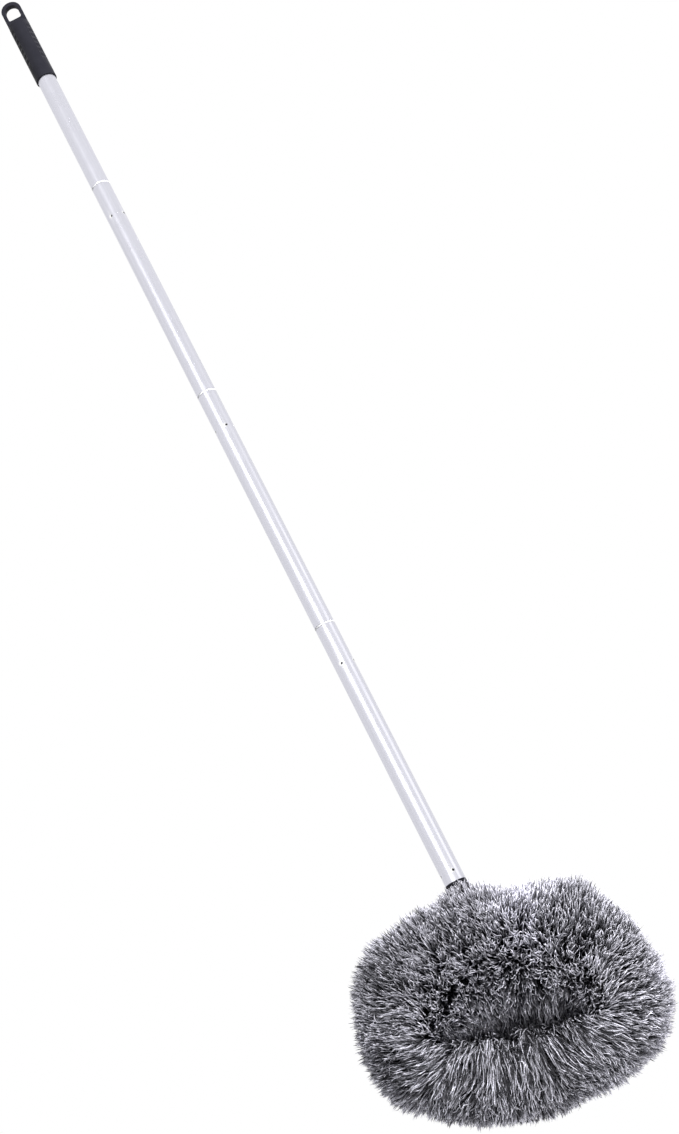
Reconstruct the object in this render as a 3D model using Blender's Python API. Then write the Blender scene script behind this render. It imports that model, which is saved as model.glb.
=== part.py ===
"""Ceiling fan duster: a pole of four screwed sections, a grip and an oval pile head on a flexible loop.

Units are metres. +Z points up the pole, the head's front faces -Y, and the origin is the top of the
hang hole, where a hook bears.
"""

import math

import bmesh
import bpy
import numpy as np

# Fits
GAP = 0.0003
THREAD_CLEARANCE = 0.0004

# Pole
TUBE_RADIUS = 0.011
TUBE_WALL = 0.0008
SECTION_PITCH = 0.300
TOP_TUBE_SHOWING = 0.168
TUBE_SEGMENTS = 32

# Grip
GRIP_LENGTH = 0.125
GRIP_WALL = 0.0013
GRIP_SOCKET_DEPTH = 0.085
TONGUE_LENGTH = 0.036
TONGUE_THICKNESS = 0.007
HOLE_MARGIN = 0.006
HOLE_WIDTH = 0.016
HOLE_LENGTH = 0.0205
HOLE_CORNER = 0.0022
RIB_COUNT = 7
RIB_PITCH = 0.008
RIB_DEPTH = 0.0006
RIBS_FROM_MOUTH = 0.025
GRIP_PANEL_HALF_WIDTH = 0.008

# Screw joints
THREAD_CREST_RADIUS = 0.0070
THREAD_DEPTH = 0.0014
THREAD_PITCH = 0.004
THREAD_TURNS = 3.5
CREST_SHARE = 0.26
FLANK_SHARE = 0.18
THREAD_SEGMENTS = 12
INSERT_LENGTH = 0.018
PLUG_DEPTH = 0.052
PLUG_LAND = 0.009
PLUG_RELIEF = 0.0010
PLUG_BORE_RADIUS = 0.0034
RING_THICKNESS = 0.0018
COLLAR_THICKNESS = 0.0035

# Stakes punched through the tube into the moulding behind it
STAKE_COUNT = 4
STAKE_RADIUS = 0.0013
STAKE_DEPTH = 0.0009
STAKE_METAL = 0.0006
STAKE_SIDES = 6
PLUG_STAKE_DROP = 0.046
FOOT_STAKE_RISE = 0.0105
SECTION_TURNS = (-24.0, 22.0, -10.0)
FOOT_TURN = 20.0

# Neck
SHOULDER_RADIUS = 0.0107
SHOULDER_HEIGHT = 0.005
SHOULDER_TAPER = 0.010
NECK_RADIUS = 0.007
NECK_FLANGE_RADIUS = 0.0095
NECK_FLANGE_THICKNESS = 0.0035
NECK_CORE_DEPTH = 0.040
NECK_SEGMENTS = 24
ELASTIC_RADIUS = 0.0012

# Loop and hub
HUB_DROP = 0.072
HEAD_LEAN = 11.0
LOOP_SWAY = 0.0865
LOOP_HALF_WIDTH = 0.102
LOOP_HALF_HEIGHT = 0.0608
STRIP_WIDTH = 0.018
STRIP_THICKNESS = 0.0025
STRIP_END_GAP = 0.008
STRIP_TAB_LENGTH = 0.008
STRIP_TAB_WIDTH = 0.022
HUB_LENGTH = 0.052
HUB_HEIGHT = 0.034
HUB_THICKNESS = 0.026
HUB_CORNER = 0.009
HUB_BEVEL = 0.003
NECK_TO_STRIP = 0.0068
SCREW_RADIUS = 0.0015
SCREW_HEAD_RADIUS = 0.0029
SCREW_HEAD_HEIGHT = 0.0022
SCREW_LENGTH = 0.018
SCREW_ALONG = 0.0185
SCREW_ACROSS = 0.0100

# Cover and pile, with the pile's reach taken from the strip's centre line
BACKING = 0.0016
PILE_ABOVE = 0.0713
PILE_BESIDE = 0.0544
PILE_BELOW = 0.0425
PILE_FRONT = 0.0540
PILE_FRONT_SWELL = 0.0080
SLOT_DROP = 0.015
SLOT_HALF_LENGTH = 0.062
SLOT_HALF_HEIGHT = 0.009
SLOT_TILT = 0.12
NECK_OPENING = 0.0188
COVER_OVER_HUB = 0.0625
COVER_TAPER = 0.014
TUFT_WAIST = 0.52
TUFT_WAIST_HEIGHT = 0.5
TUFT_UNEVEN = 0.07
PILE_SEED = 7

# Heights of the joints, from the hang hole down
MOUTH_Z = HOLE_MARGIN - GRIP_LENGTH
JOINT_Z = [MOUTH_Z - TOP_TUBE_SHOWING - SECTION_PITCH * index for index in range(4)]
TUBE_BORE = TUBE_RADIUS - TUBE_WALL
INSERT_RADIUS = TUBE_BORE - GAP
THREAD_ROOT_RADIUS = THREAD_CREST_RADIUS - THREAD_DEPTH
THREAD_LENGTH = THREAD_PITCH * THREAD_TURNS


def clear_scene():
    for leftover in list(bpy.data.objects):
        bpy.data.objects.remove(leftover)


def finish(name, colour, roughness, metallic=0.0):
    """Makes a material with one Principled shader."""
    material = bpy.data.materials.new(name)
    material.use_nodes = True
    shader = material.node_tree.nodes["Principled BSDF"]
    shader.inputs["Base Color"].default_value = (*colour, 1.0)
    shader.inputs["Roughness"].default_value = roughness
    shader.inputs["Metallic"].default_value = metallic
    return material


def axis_empty(name, height, parent=None, turn=0.0):
    """An empty on the pole's axis, which carries the pieces that turn together."""
    empty = bpy.data.objects.new(name, None)
    bpy.context.scene.collection.objects.link(empty)
    empty.parent = parent
    empty.location.z = height
    empty.rotation_euler.z = math.radians(turn)
    return empty


def piece(name, mesh, material, parent, turn=0.0):
    """Places a mesh as a named piece under its empty, turned about the pole."""
    obj = bpy.data.objects.new(name, mesh)
    bpy.context.scene.collection.objects.link(obj)
    if not mesh.materials:
        mesh.materials.append(material)
    obj.parent = parent
    obj.rotation_euler.z = math.radians(turn)
    return obj


def helper(name, mesh, parent, turn=0.0):
    """Places a mesh that only cuts or adds to a piece."""
    obj = bpy.data.objects.new(name, mesh)
    bpy.context.scene.collection.objects.link(obj)
    obj.parent = parent
    obj.rotation_euler.z = math.radians(turn)
    obj.hide_render = True
    obj.display_type = "WIRE"
    return obj


def combine(obj, other, operation):
    """Adds a Boolean modifier that takes the other mesh from this one, or joins it on."""
    modifier = obj.modifiers.new(other.name, "BOOLEAN")
    modifier.operation = operation
    modifier.object = other
    modifier.solver = "EXACT"


def mesh_from(bm, name, smooth=True):
    """Closes a bmesh into a mesh: doubles merged, faces out, round surfaces smooth."""
    bmesh.ops.remove_doubles(bm, verts=bm.verts, dist=1e-6)
    bmesh.ops.recalc_face_normals(bm, faces=bm.faces)
    mesh = bpy.data.meshes.new(name)
    bm.to_mesh(mesh)
    bm.free()
    if smooth:
        mesh.shade_smooth()
        mesh.set_sharp_from_angle(angle=math.radians(40))
    return mesh


def add_face(bm, corners):
    """Adds a face, leaving out a corner that is named twice."""
    unique = list(dict.fromkeys(corners))
    if len(unique) > 2:
        bm.faces.new(unique)


def ring(bm, radius, height, segments):
    """A circle of points about the axis."""
    angles = [math.tau * index / segments for index in range(segments)]
    return [bm.verts.new((radius * math.cos(a), radius * math.sin(a), height)) for a in angles]


def bridge(bm, lower, upper):
    """Joins two rings of equal count with faces."""
    count = len(lower)
    for index in range(count):
        after = (index + 1) % count
        add_face(bm, (lower[index], lower[after], upper[after], upper[index]))


def turned(name, profile, segments):
    """A solid of revolution: the closed profile of (radius, height) points spun about the axis."""
    bm = bmesh.new()
    points = [bm.verts.new((radius, 0.0, height)) for radius, height in profile]
    edges = [bm.edges.new((points[i - 1], points[i])) for i in range(len(points))]
    bmesh.ops.spin(
        bm,
        geom=points + edges,
        cent=(0, 0, 0),
        axis=(0, 0, 1),
        angle=math.tau,
        steps=segments,
        use_merge=True,
    )
    return mesh_from(bm, name)


def thread_surface(bm, bottom, top, root, crest, end_radius, crest_share):
    """Adds a right-hand helical ridge between two heights and returns its end rings.

    Each column of points climbs the ridge's profile, and the next column stands one step of the helix
    higher, so the last column meets the first one pitch up. A point past an end is drawn back to it.
    """
    half_crest = crest_share / 2
    profile = (
        (0.5 - half_crest - FLANK_SHARE, root),
        (0.5 - half_crest, crest),
        (0.5 + half_crest, crest),
        (0.5 + half_crest + FLANK_SHARE, root),
    )
    nearest = 0.02 * THREAD_PITCH
    first_turn = math.floor(bottom / THREAD_PITCH) - 2
    last_turn = math.ceil(top / THREAD_PITCH) + 2
    columns = []
    for step in range(THREAD_SEGMENTS):
        angle = math.tau * step / THREAD_SEGMENTS
        column = []
        for turn in range(first_turn, last_turn):
            for share, radius in profile:
                height = THREAD_PITCH * (turn + share + step / THREAD_SEGMENTS)
                if height < bottom + nearest or height > top - nearest:
                    height = min(max(height, bottom), top)
                    height = bottom if height < bottom + nearest else top
                    radius = end_radius
                place = (radius * math.cos(angle), radius * math.sin(angle), height)
                column.append(bm.verts.new(place))
        columns.append(column)
    rows = len(columns[0])

    def point(step, row):
        if step < THREAD_SEGMENTS:
            return columns[step][row]
        return columns[0][min(row + len(profile), rows - 1)]

    for step in range(THREAD_SEGMENTS):
        for row in range(rows - 1):
            corners = (
                point(step, row),
                point(step + 1, row),
                point(step + 1, row + 1),
                point(step, row + 1),
            )
            add_face(bm, corners)
    return [column[0] for column in columns], [column[-1] for column in columns]


def stud_solid(name, seat, body):
    """A moulding with a threaded stud on top and a core hole.

    The stud's shoulder lies at height zero. The seat is the plain height that the ring takes, and body
    is the outer profile below the shoulder, from the lowest point up, as (radius, height).
    """
    bm = bmesh.new()
    outer = [ring(bm, radius, height, THREAD_SEGMENTS) for radius, height in body]
    foot, head = thread_surface(
        bm,
        seat,
        seat + THREAD_LENGTH,
        THREAD_ROOT_RADIUS,
        THREAD_CREST_RADIUS,
        THREAD_ROOT_RADIUS,
        CREST_SHARE,
    )
    chamfer = THREAD_DEPTH / 2
    tip = seat + THREAD_LENGTH + chamfer
    end = ring(bm, THREAD_ROOT_RADIUS - chamfer, tip, THREAD_SEGMENTS)
    core_top = ring(bm, PLUG_BORE_RADIUS, tip, THREAD_SEGMENTS)
    neck = ring(bm, THREAD_ROOT_RADIUS, 0.0, THREAD_SEGMENTS)
    for lower, upper in zip(outer, outer[1:]):
        bridge(bm, lower, upper)
    bridge(bm, outer[-1], neck)
    bridge(bm, neck, foot)
    bridge(bm, head, end)
    bridge(bm, end, core_top)
    return bm, outer[0], core_top


def plug_solid(name):
    """The plug in the upper end of a tube: two lands with a relieved waist, cored right through."""
    waist = INSERT_RADIUS - PLUG_RELIEF
    body = (
        (INSERT_RADIUS, -PLUG_DEPTH),
        (INSERT_RADIUS, -PLUG_DEPTH + 1.5 * PLUG_LAND),
        (waist, -PLUG_DEPTH + 1.5 * PLUG_LAND + PLUG_RELIEF),
        (waist, -PLUG_LAND - PLUG_RELIEF),
        (INSERT_RADIUS, -PLUG_LAND),
        (INSERT_RADIUS, 0.0),
    )
    bm, base, core_top = stud_solid(name, RING_THICKNESS + 2 * GAP, body)
    core_base = ring(bm, PLUG_BORE_RADIUS, -PLUG_DEPTH, THREAD_SEGMENTS)
    bridge(bm, core_base, core_top)
    bridge(bm, base, core_base)
    return mesh_from(bm, name)


def neck_solid(name):
    """The head's stud, its shoulder and the long neck that ends in a captured flange."""
    root = -HUB_DROP + NECK_TO_STRIP
    body = (
        (NECK_FLANGE_RADIUS, root),
        (NECK_FLANGE_RADIUS, root + NECK_FLANGE_THICKNESS),
        (NECK_RADIUS, root + NECK_FLANGE_THICKNESS),
        (NECK_RADIUS, -SHOULDER_HEIGHT - SHOULDER_TAPER),
        (SHOULDER_RADIUS, -SHOULDER_HEIGHT),
        (SHOULDER_RADIUS, 0.0),
    )
    bm, base, core_top = stud_solid(name, COLLAR_THICKNESS + 2 * GAP, body)
    core_end = ring(bm, PLUG_BORE_RADIUS, -NECK_CORE_DEPTH, THREAD_SEGMENTS)
    bridge(bm, core_end, core_top)
    bm.faces.new(core_end)
    bm.faces.new(base)
    return mesh_from(bm, name)


def insert_solid(name, seat):
    """The sleeve in a tube's lower end, whose inside thread runs its whole length above the seat."""
    bm = bmesh.new()
    top = seat + INSERT_LENGTH
    outer_low = ring(bm, INSERT_RADIUS, seat, THREAD_SEGMENTS)
    outer_high = ring(bm, INSERT_RADIUS, top, THREAD_SEGMENTS)
    low, high = thread_surface(
        bm,
        seat,
        top,
        THREAD_ROOT_RADIUS + THREAD_CLEARANCE,
        THREAD_CREST_RADIUS + THREAD_CLEARANCE,
        THREAD_CREST_RADIUS + THREAD_CLEARANCE,
        CREST_SHARE + THREAD_CLEARANCE / THREAD_PITCH,
    )
    bridge(bm, outer_low, outer_high)
    bridge(bm, outer_high, high)
    bridge(bm, outer_low, low)
    return mesh_from(bm, name)


def radial_cones(name, height, near, near_radius, far, far_radius):
    """The stakes' shapes: cones that point at the axis, one for each stake, the first facing -Y."""
    bm = bmesh.new()
    for index in range(STAKE_COUNT):
        around = math.tau * index / STAKE_COUNT
        outward = (math.sin(around), -math.cos(around))
        rings = []
        for distance, radius in ((near, near_radius), (far, far_radius)):
            points = []
            for side in range(STAKE_SIDES):
                angle = math.tau * (side + 0.5) / STAKE_SIDES
                across = radius * math.cos(angle)
                x = outward[0] * distance - outward[1] * across
                y = outward[1] * distance + outward[0] * across
                points.append(bm.verts.new((x, y, height + radius * math.sin(angle))))
            rings.append(points)
        bridge(bm, rings[0], rings[1])
        bm.faces.new(rings[0])
        bm.faces.new(rings[1])
    return mesh_from(bm, name, smooth=False)


def stake(tube, moulding, height, turn, label):
    """Punches a ring of stakes: a boss inside the tube, a dimple outside, and a pocket in the moulding."""
    axis = tube.parent
    floor = TUBE_RADIUS - STAKE_DEPTH
    boss_end = floor - STAKE_METAL
    spread = STAKE_RADIUS / 2
    boss = radial_cones(
        label + "_boss",
        height,
        TUBE_RADIUS - TUBE_WALL / 2,
        STAKE_RADIUS + spread,
        boss_end,
        STAKE_RADIUS - spread / 2,
    )
    dimple = radial_cones(
        label + "_dimple",
        height,
        TUBE_RADIUS + STAKE_DEPTH / 2,
        STAKE_RADIUS,
        floor,
        STAKE_RADIUS / 2,
    )
    pocket = radial_cones(
        label + "_pocket",
        height,
        TUBE_RADIUS,
        STAKE_RADIUS + 2 * spread,
        boss_end - GAP,
        STAKE_RADIUS + GAP,
    )
    combine(tube, helper(label + "_boss", boss, axis, turn), "UNION")
    combine(tube, helper(label + "_dimple", dimple, axis, turn), "DIFFERENCE")
    combine(moulding, helper(label + "_pocket", pocket, axis, turn), "DIFFERENCE")


def tube_solid(name, bottom, top):
    profile = (
        (TUBE_RADIUS, top),
        (TUBE_RADIUS, bottom),
        (TUBE_BORE, bottom),
        (TUBE_BORE, top),
    )
    return turned(name, profile, TUBE_SEGMENTS)


def washer(name, thickness):
    """A ring that sits on a stud's shoulder and clears its thread."""
    inner = THREAD_CREST_RADIUS + THREAD_CLEARANCE
    low = GAP
    high = GAP + thickness
    return turned(name, ((TUBE_RADIUS, high), (TUBE_RADIUS, low), (inner, low), (inner, high)), 24)


def grip_body(name):
    """The grip's round body, ribbed on its two sides, with the tube's socket and a domed end."""
    radius = TUBE_RADIUS + GAP + GRIP_WALL
    half_panel = math.asin(min(GRIP_PANEL_HALF_WIDTH / radius, 0.95))
    bm = bmesh.new()

    def row(height, size, depth=0.0):
        points = []
        for index in range(TUBE_SEGMENTS):
            angle = math.tau * index / TUBE_SEGMENTS
            on_side = abs(math.cos(angle)) > math.sin(half_panel)
            reach = size - depth if on_side else size
            points.append(bm.verts.new((reach * math.cos(angle), reach * math.sin(angle), height)))
        return points

    lip = GRIP_WALL / 2
    rows = [row(MOUTH_Z, radius - lip), row(MOUTH_Z + lip, radius)]
    for index in range(RIB_COUNT):
        height = MOUTH_Z + RIBS_FROM_MOUTH + RIB_PITCH * index
        rows.append(row(height, radius))
        rows.append(row(height + RIB_PITCH / 2, radius, RIB_DEPTH))
    rows.append(row(MOUTH_Z + RIBS_FROM_MOUTH + RIB_PITCH * RIB_COUNT, radius))
    dome_centre = HOLE_MARGIN - radius
    for index in range(5):
        tilt = math.radians(90) * index / 5
        rows.append(row(dome_centre + radius * math.sin(tilt), radius * math.cos(tilt)))
    pole_point = bm.verts.new((0.0, 0.0, HOLE_MARGIN))
    for lower, upper in zip(rows, rows[1:]):
        bridge(bm, lower, upper)
    last = rows[-1]
    for index in range(TUBE_SEGMENTS):
        add_face(bm, (last[index], last[(index + 1) % TUBE_SEGMENTS], pole_point))
    socket_mouth = ring(bm, TUBE_RADIUS + GAP, MOUTH_Z, TUBE_SEGMENTS)
    socket_end = ring(bm, TUBE_RADIUS + GAP, MOUTH_Z + GRIP_SOCKET_DEPTH + GAP, TUBE_SEGMENTS)
    bridge(bm, rows[0], socket_mouth)
    bridge(bm, socket_mouth, socket_end)
    bm.faces.new(socket_end)
    return mesh_from(bm, name)


def block(name, low, high):
    bm = bmesh.new()
    bmesh.ops.create_cube(bm, size=1.0)
    for vert in bm.verts:
        for axis in range(3):
            vert.co[axis] = low[axis] if vert.co[axis] < 0 else high[axis]
    return mesh_from(bm, name, smooth=False)


def hang_hole(name):
    """The cutter of the hang hole: a round top, which is the origin, and a flat foot."""
    radius = HOLE_WIDTH / 2
    bm = bmesh.new()
    outline = []
    for index in range(9):
        angle = math.pi * index / 8
        outline.append((radius * math.cos(angle), radius * math.sin(angle) - radius))
    for side in (-1, 1):
        for index in range(5):
            angle = math.pi * (1.25 + 0.25 * side) + math.pi / 2 * index / 4
            x = side * (radius - HOLE_CORNER) + HOLE_CORNER * math.cos(angle)
            outline.append((x, HOLE_CORNER * math.sin(angle) + HOLE_CORNER - HOLE_LENGTH))
    front = [bm.verts.new((x, -TONGUE_THICKNESS, z)) for x, z in outline]
    back = [bm.verts.new((x, TONGUE_THICKNESS, z)) for x, z in outline]
    bridge(bm, front, back)
    bm.faces.new(front)
    bm.faces.new(back)
    return mesh_from(bm, name)


def make_grip(parent, black):
    grip = piece("grip", grip_body("grip"), black, parent)
    reach = 2 * TUBE_RADIUS
    base = HOLE_MARGIN - TONGUE_LENGTH
    top = 2 * HOLE_MARGIN
    half = TONGUE_THICKNESS / 2
    front = block("tongue_front", (-reach, -reach, base), (reach, -half, top))
    back = block("tongue_back", (-reach, half, base), (reach, reach, top))
    combine(grip, helper("tongue_front", front, parent), "DIFFERENCE")
    combine(grip, helper("tongue_back", back, parent), "DIFFERENCE")
    combine(grip, helper("hang_hole", hang_hole("hang_hole"), parent), "DIFFERENCE")


def make_top_section(parent, metal, moulding):
    """The tube that the grip holds, with the insert for the next section's stud."""
    seat = RING_THICKNESS + 2 * GAP
    top = MOUTH_Z + GRIP_SOCKET_DEPTH
    piece("tube_1", tube_solid("tube_1", JOINT_Z[0] + seat, top), metal, parent)
    joint = axis_empty("joint_1_thread", JOINT_Z[0], parent)
    insert = insert_solid("thread_insert", seat)
    piece("thread_insert_1", insert, moulding, joint, SECTION_TURNS[0])


def make_section(number, parent, metal, moulding):
    """A lower pole section: tube, staked plug above, threaded insert below."""
    last = number == 4
    turn = SECTION_TURNS[number - 2]
    seat = (COLLAR_THICKNESS if last else RING_THICKNESS) + 2 * GAP
    bottom = -SECTION_PITCH + seat
    tube = piece(f"tube_{number}", tube_solid(f"tube_{number}", bottom, 0.0), metal, parent)
    plug = piece(f"thread_plug_{number}", plug_solid("thread_plug"), moulding, parent, turn)
    stake(tube, plug, -PLUG_STAKE_DROP, turn, f"stake_{number}")
    joint = axis_empty(f"joint_{number}_thread", -SECTION_PITCH, parent)
    insert = insert_solid("foot_insert" if last else "thread_insert", seat)
    next_turn = 0.0 if last else SECTION_TURNS[number - 1]
    insert_piece = piece(f"thread_insert_{number}", insert, moulding, joint, next_turn)
    if last:
        stake(tube, insert_piece, bottom + FOOT_STAKE_RISE, FOOT_TURN, "foot_stake")


def swayed(along, up):
    """The flexible loop hangs a little to +X, more so the further it is below the hub."""
    return along - LOOP_SWAY * up, up


def loop_point(angle, offset=0.0):
    """A point on the loop's ellipse, in the loop's plane about the hub, moved outwards by an offset.

    The angle is zero at the hub and grows towards +X.
    """
    along, up = swayed(LOOP_HALF_WIDTH * math.sin(angle), LOOP_HALF_HEIGHT * (math.cos(angle) - 1))
    out_x = LOOP_HALF_HEIGHT * math.sin(angle)
    out_z = LOOP_HALF_WIDTH * math.cos(angle) + LOOP_SWAY * out_x
    length = math.hypot(out_x, out_z)
    return along + offset * out_x / length, up + offset * out_z / length


def cover_spans():
    """The angle where the cover leaves the hub, and the stations of the slices down one side of the loop."""
    hub_angle = math.asin(COVER_OVER_HUB / 2 / LOOP_HALF_WIDTH)
    ends = [hub_angle, math.radians(60), math.radians(122), math.pi]
    spans = {}
    for part, first, last, cells in zip(("upper", "end", "lower"), ends, ends[1:], (4, 6, 6)):
        spans[part] = np.linspace(first, last, cells + 1)
    return hub_angle, spans


def strip_solid(name, margin, whole):
    """The flexible strip round the loop, its two ends widened to tabs. Its stations are the cover's.

    If it is not whole, only the parts inside the hub are made, each its own solid, and a margin makes
    them cutters.
    """
    start = STRIP_END_GAP / 2 / LOOP_HALF_WIDTH
    tab_end = start + STRIP_TAB_LENGTH / LOOP_HALF_WIDTH
    ease = margin / LOOP_HALF_WIDTH
    half_thick = STRIP_THICKNESS / 2 + margin
    half_tab = STRIP_TAB_WIDTH / 2 + margin
    half_width = STRIP_WIDTH / 2 + margin
    hub_angle, spans = cover_spans()
    narrow = np.linspace(tab_end + ease + 1e-4, hub_angle, 5)
    right = [(start - ease, half_tab), (tab_end + ease, half_tab)]
    right += [(angle, half_width) for angle in narrow]
    if whole:
        right += [(angle, half_width) for angles in spans.values() for angle in angles[1:]]
    left = [(math.tau - angle, half) for angle, half in reversed(right)]
    sides = (right[:-1] + left,) if whole else (right, left)
    bm = bmesh.new()
    for stations in sides:
        frames = []
        for angle, half in stations:
            inner = loop_point(angle, -half_thick)
            outer = loop_point(angle, half_thick)
            corners = ((inner, -half), (outer, -half), (outer, half), (inner, half))
            frames.append([bm.verts.new((place[0], y, place[1])) for place, y in corners])
        for lower, upper in zip(frames, frames[1:]):
            bridge(bm, lower, upper)
        bm.faces.new(frames[0])
        bm.faces.new(frames[-1])
    return mesh_from(bm, name)


def hub_shell(name, side):
    """Half of the hub: a rounded outline pushed out of the middle plane, with its outer edge bevelled."""
    half_length = HUB_LENGTH / 2
    half_height = HUB_HEIGHT / 2
    bm = bmesh.new()
    outline = []
    for corner, (sx, sz) in enumerate(((1, 1), (-1, 1), (-1, -1), (1, -1))):
        for step in range(4):
            angle = math.radians(90 * corner + 30 * step)
            x = sx * (half_length - HUB_CORNER) + HUB_CORNER * math.cos(angle)
            z = sz * (half_height - HUB_CORNER) + HUB_CORNER * math.sin(angle)
            outline.append((x, z))
    thickness = HUB_THICKNESS / 2
    levels = [(side * GAP / 2, 0.0)]
    for step in range(3):
        angle = math.radians(45 * step)
        inset = HUB_BEVEL * (1 - math.cos(angle))
        levels.append((side * (thickness - HUB_BEVEL + HUB_BEVEL * math.sin(angle)), inset))
    rows = []
    for y, inset in levels:
        scale_x = (half_length - inset) / half_length
        scale_z = (half_height - inset) / half_height
        rows.append([bm.verts.new((x * scale_x, y, z * scale_z)) for x, z in outline])
    for lower, upper in zip(rows, rows[1:]):
        bridge(bm, lower, upper)
    bm.faces.new(rows[0])
    bm.faces.new(rows[-1])
    return mesh_from(bm, name)


def screw_profile(margin):
    """The screw's profile from its tip to its head, lying along the axis, with a margin for its hole."""
    head_top = HUB_THICKNESS / 2 - HUB_BEVEL / 2
    seat = head_top - SCREW_HEAD_HEIGHT
    tip = head_top - SCREW_LENGTH
    shank = SCREW_RADIUS + margin
    head = SCREW_HEAD_RADIUS + margin
    top = head_top if margin == 0 else HUB_THICKNESS
    return (
        (0.0, top),
        (head, top),
        (head, seat - margin),
        (shank, seat - margin),
        (shank, tip + SCREW_RADIUS),
        (0.0, tip - margin),
    )


def cross_recess(name):
    """The cutter of the screw's cross recess, two crossed blades."""
    head_top = HUB_THICKNESS / 2 - HUB_BEVEL / 2
    long_half = SCREW_HEAD_RADIUS * 0.62
    short_half = SCREW_HEAD_RADIUS * 0.16
    floor = head_top - SCREW_HEAD_HEIGHT * 0.6
    outline = []
    for quarter in range(4):
        c = math.cos(math.radians(90 * quarter))
        s = math.sin(math.radians(90 * quarter))
        for x, y in ((long_half, -short_half), (long_half, short_half), (short_half, short_half)):
            outline.append((c * x - s * y, s * x + c * y))
    bm = bmesh.new()
    low = [bm.verts.new((x, y, floor)) for x, y in outline]
    high = [bm.verts.new((x, y, head_top + SCREW_HEAD_HEIGHT)) for x, y in outline]
    bridge(bm, low, high)
    bm.faces.new(low)
    bm.faces.new(high)
    return mesh_from(bm, name, smooth=False)


def make_hub(loop, head, moulding, steel):
    """The two shells, cut to fit the neck's root, the strip's tabs and the screws, and the four screws."""
    shells = []
    for name, side in (("hub_front", -1), ("hub_back", 1)):
        shells.append(piece(name, hub_shell(name, side), moulding, loop))
    cutters = [helper("strip_channel", strip_solid("strip_channel", GAP, whole=False), loop)]
    root = -HUB_DROP + NECK_TO_STRIP
    flange_top = root + NECK_FLANGE_THICKNESS + GAP
    neck_profile = (
        (0.0, root - GAP),
        (NECK_FLANGE_RADIUS + GAP, root - GAP),
        (NECK_FLANGE_RADIUS + GAP, flange_top),
        (NECK_RADIUS + GAP, flange_top),
        (NECK_RADIUS + GAP, flange_top + HUB_HEIGHT),
        (0.0, flange_top + HUB_HEIGHT),
    )
    cutters.append(helper("neck_pocket", turned("neck_pocket", neck_profile, NECK_SEGMENTS), head))
    screw = turned("hub_screw", screw_profile(0.0), 12)
    hole = turned("screw_hole", screw_profile(GAP), 12)
    recess = cross_recess("cross_recess")
    places = [(a * SCREW_ALONG, b * SCREW_ACROSS) for a in (-1, 1) for b in (1, -1)]
    for number, (along, up) in enumerate(places, start=1):
        screw_piece = piece(f"hub_screw_{number}", screw, steel, loop)
        blades = helper(f"cross_recess_{number}", recess, loop)
        cutter = helper(f"screw_hole_{number}", hole, loop)
        for obj in (screw_piece, blades, cutter):
            obj.rotation_euler.x = math.radians(-90)
            obj.location = (along, 0.0, up)
        combine(screw_piece, blades, "DIFFERENCE")
        cutters.append(cutter)
    for shell in shells:
        for cutter in cutters:
            combine(shell, cutter, "DIFFERENCE")


def cover_share(angle):
    """Nought where the cover goes over the hub, one where it lies on the strip."""
    if math.cos(angle) < 0:
        return 1.0
    past_hub = abs(LOOP_HALF_WIDTH * math.sin(angle)) - COVER_OVER_HUB / 2
    return min(max(past_hub / COVER_TAPER, 0.0), 1.0)


def cover_place(angle, out):
    """A point of the cover in the loop's plane.

    Over the hub the cover lies straight, and then it eases onto the strip.
    """
    share = cover_share(angle)
    along, up = loop_point(angle)
    far_along, far_up = loop_point(angle, 1.0)
    normal = np.array([(far_along - along) * share, (far_up - up) * share + 1 - share])
    normal /= np.linalg.norm(normal)
    return along + out * normal[0], up * share + out * normal[1]


def backing_ring(angle, inside):
    """Ten points round the backing as (out from the strip, across it).

    Four lie on the outer face, four on the inner face and one at each edge.
    """
    share = cover_share(angle)
    slim = np.array([STRIP_WIDTH / 2, STRIP_THICKNESS / 2])
    over_hub = np.array([HUB_THICKNESS / 2, HUB_HEIGHT / 2])
    across, through = over_hub + (slim - over_hub) * share + GAP + (0.0 if inside else BACKING)
    middle = NECK_OPENING / 2 if share == 0 else across / 3
    outer_face = [(through, -across), (through, -middle), (through, middle), (through, across)]
    inner_face = [(-out, side) for out, side in reversed(outer_face)]
    return outer_face + [(0.0, across)] + inner_face + [(0.0, -across)]


def pile_edge(angle, around):
    """Where the pile ends, as a point about the hub, for an angle along the loop and one around the strip.

    Its outer side reaches an ellipse outside the loop, and its inner side the edge of the slot for the blade.
    """
    along, up = loop_point(angle)
    reach_out = math.cos(around)
    if reach_out > 0:
        edge_along = (LOOP_HALF_WIDTH + PILE_BESIDE) * math.sin(angle)
        middle = (PILE_ABOVE - PILE_BELOW) / 2 - LOOP_HALF_HEIGHT
        edge_up = middle + (LOOP_HALF_HEIGHT + (PILE_ABOVE + PILE_BELOW) / 2) * math.cos(angle)
    else:
        edge_along = SLOT_HALF_LENGTH * math.sin(angle)
        edge_up = SLOT_HALF_HEIGHT * math.cos(angle) - LOOP_HALF_HEIGHT - SLOT_DROP
        edge_up -= SLOT_TILT * edge_along
    edge_along, edge_up = swayed(edge_along, edge_up)
    share = abs(reach_out)
    front = PILE_FRONT + PILE_FRONT_SWELL * math.cos(angle)
    across = front * math.sin(around)
    return np.array([along + (edge_along - along) * share, across, up + (edge_up - up) * share])


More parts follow.
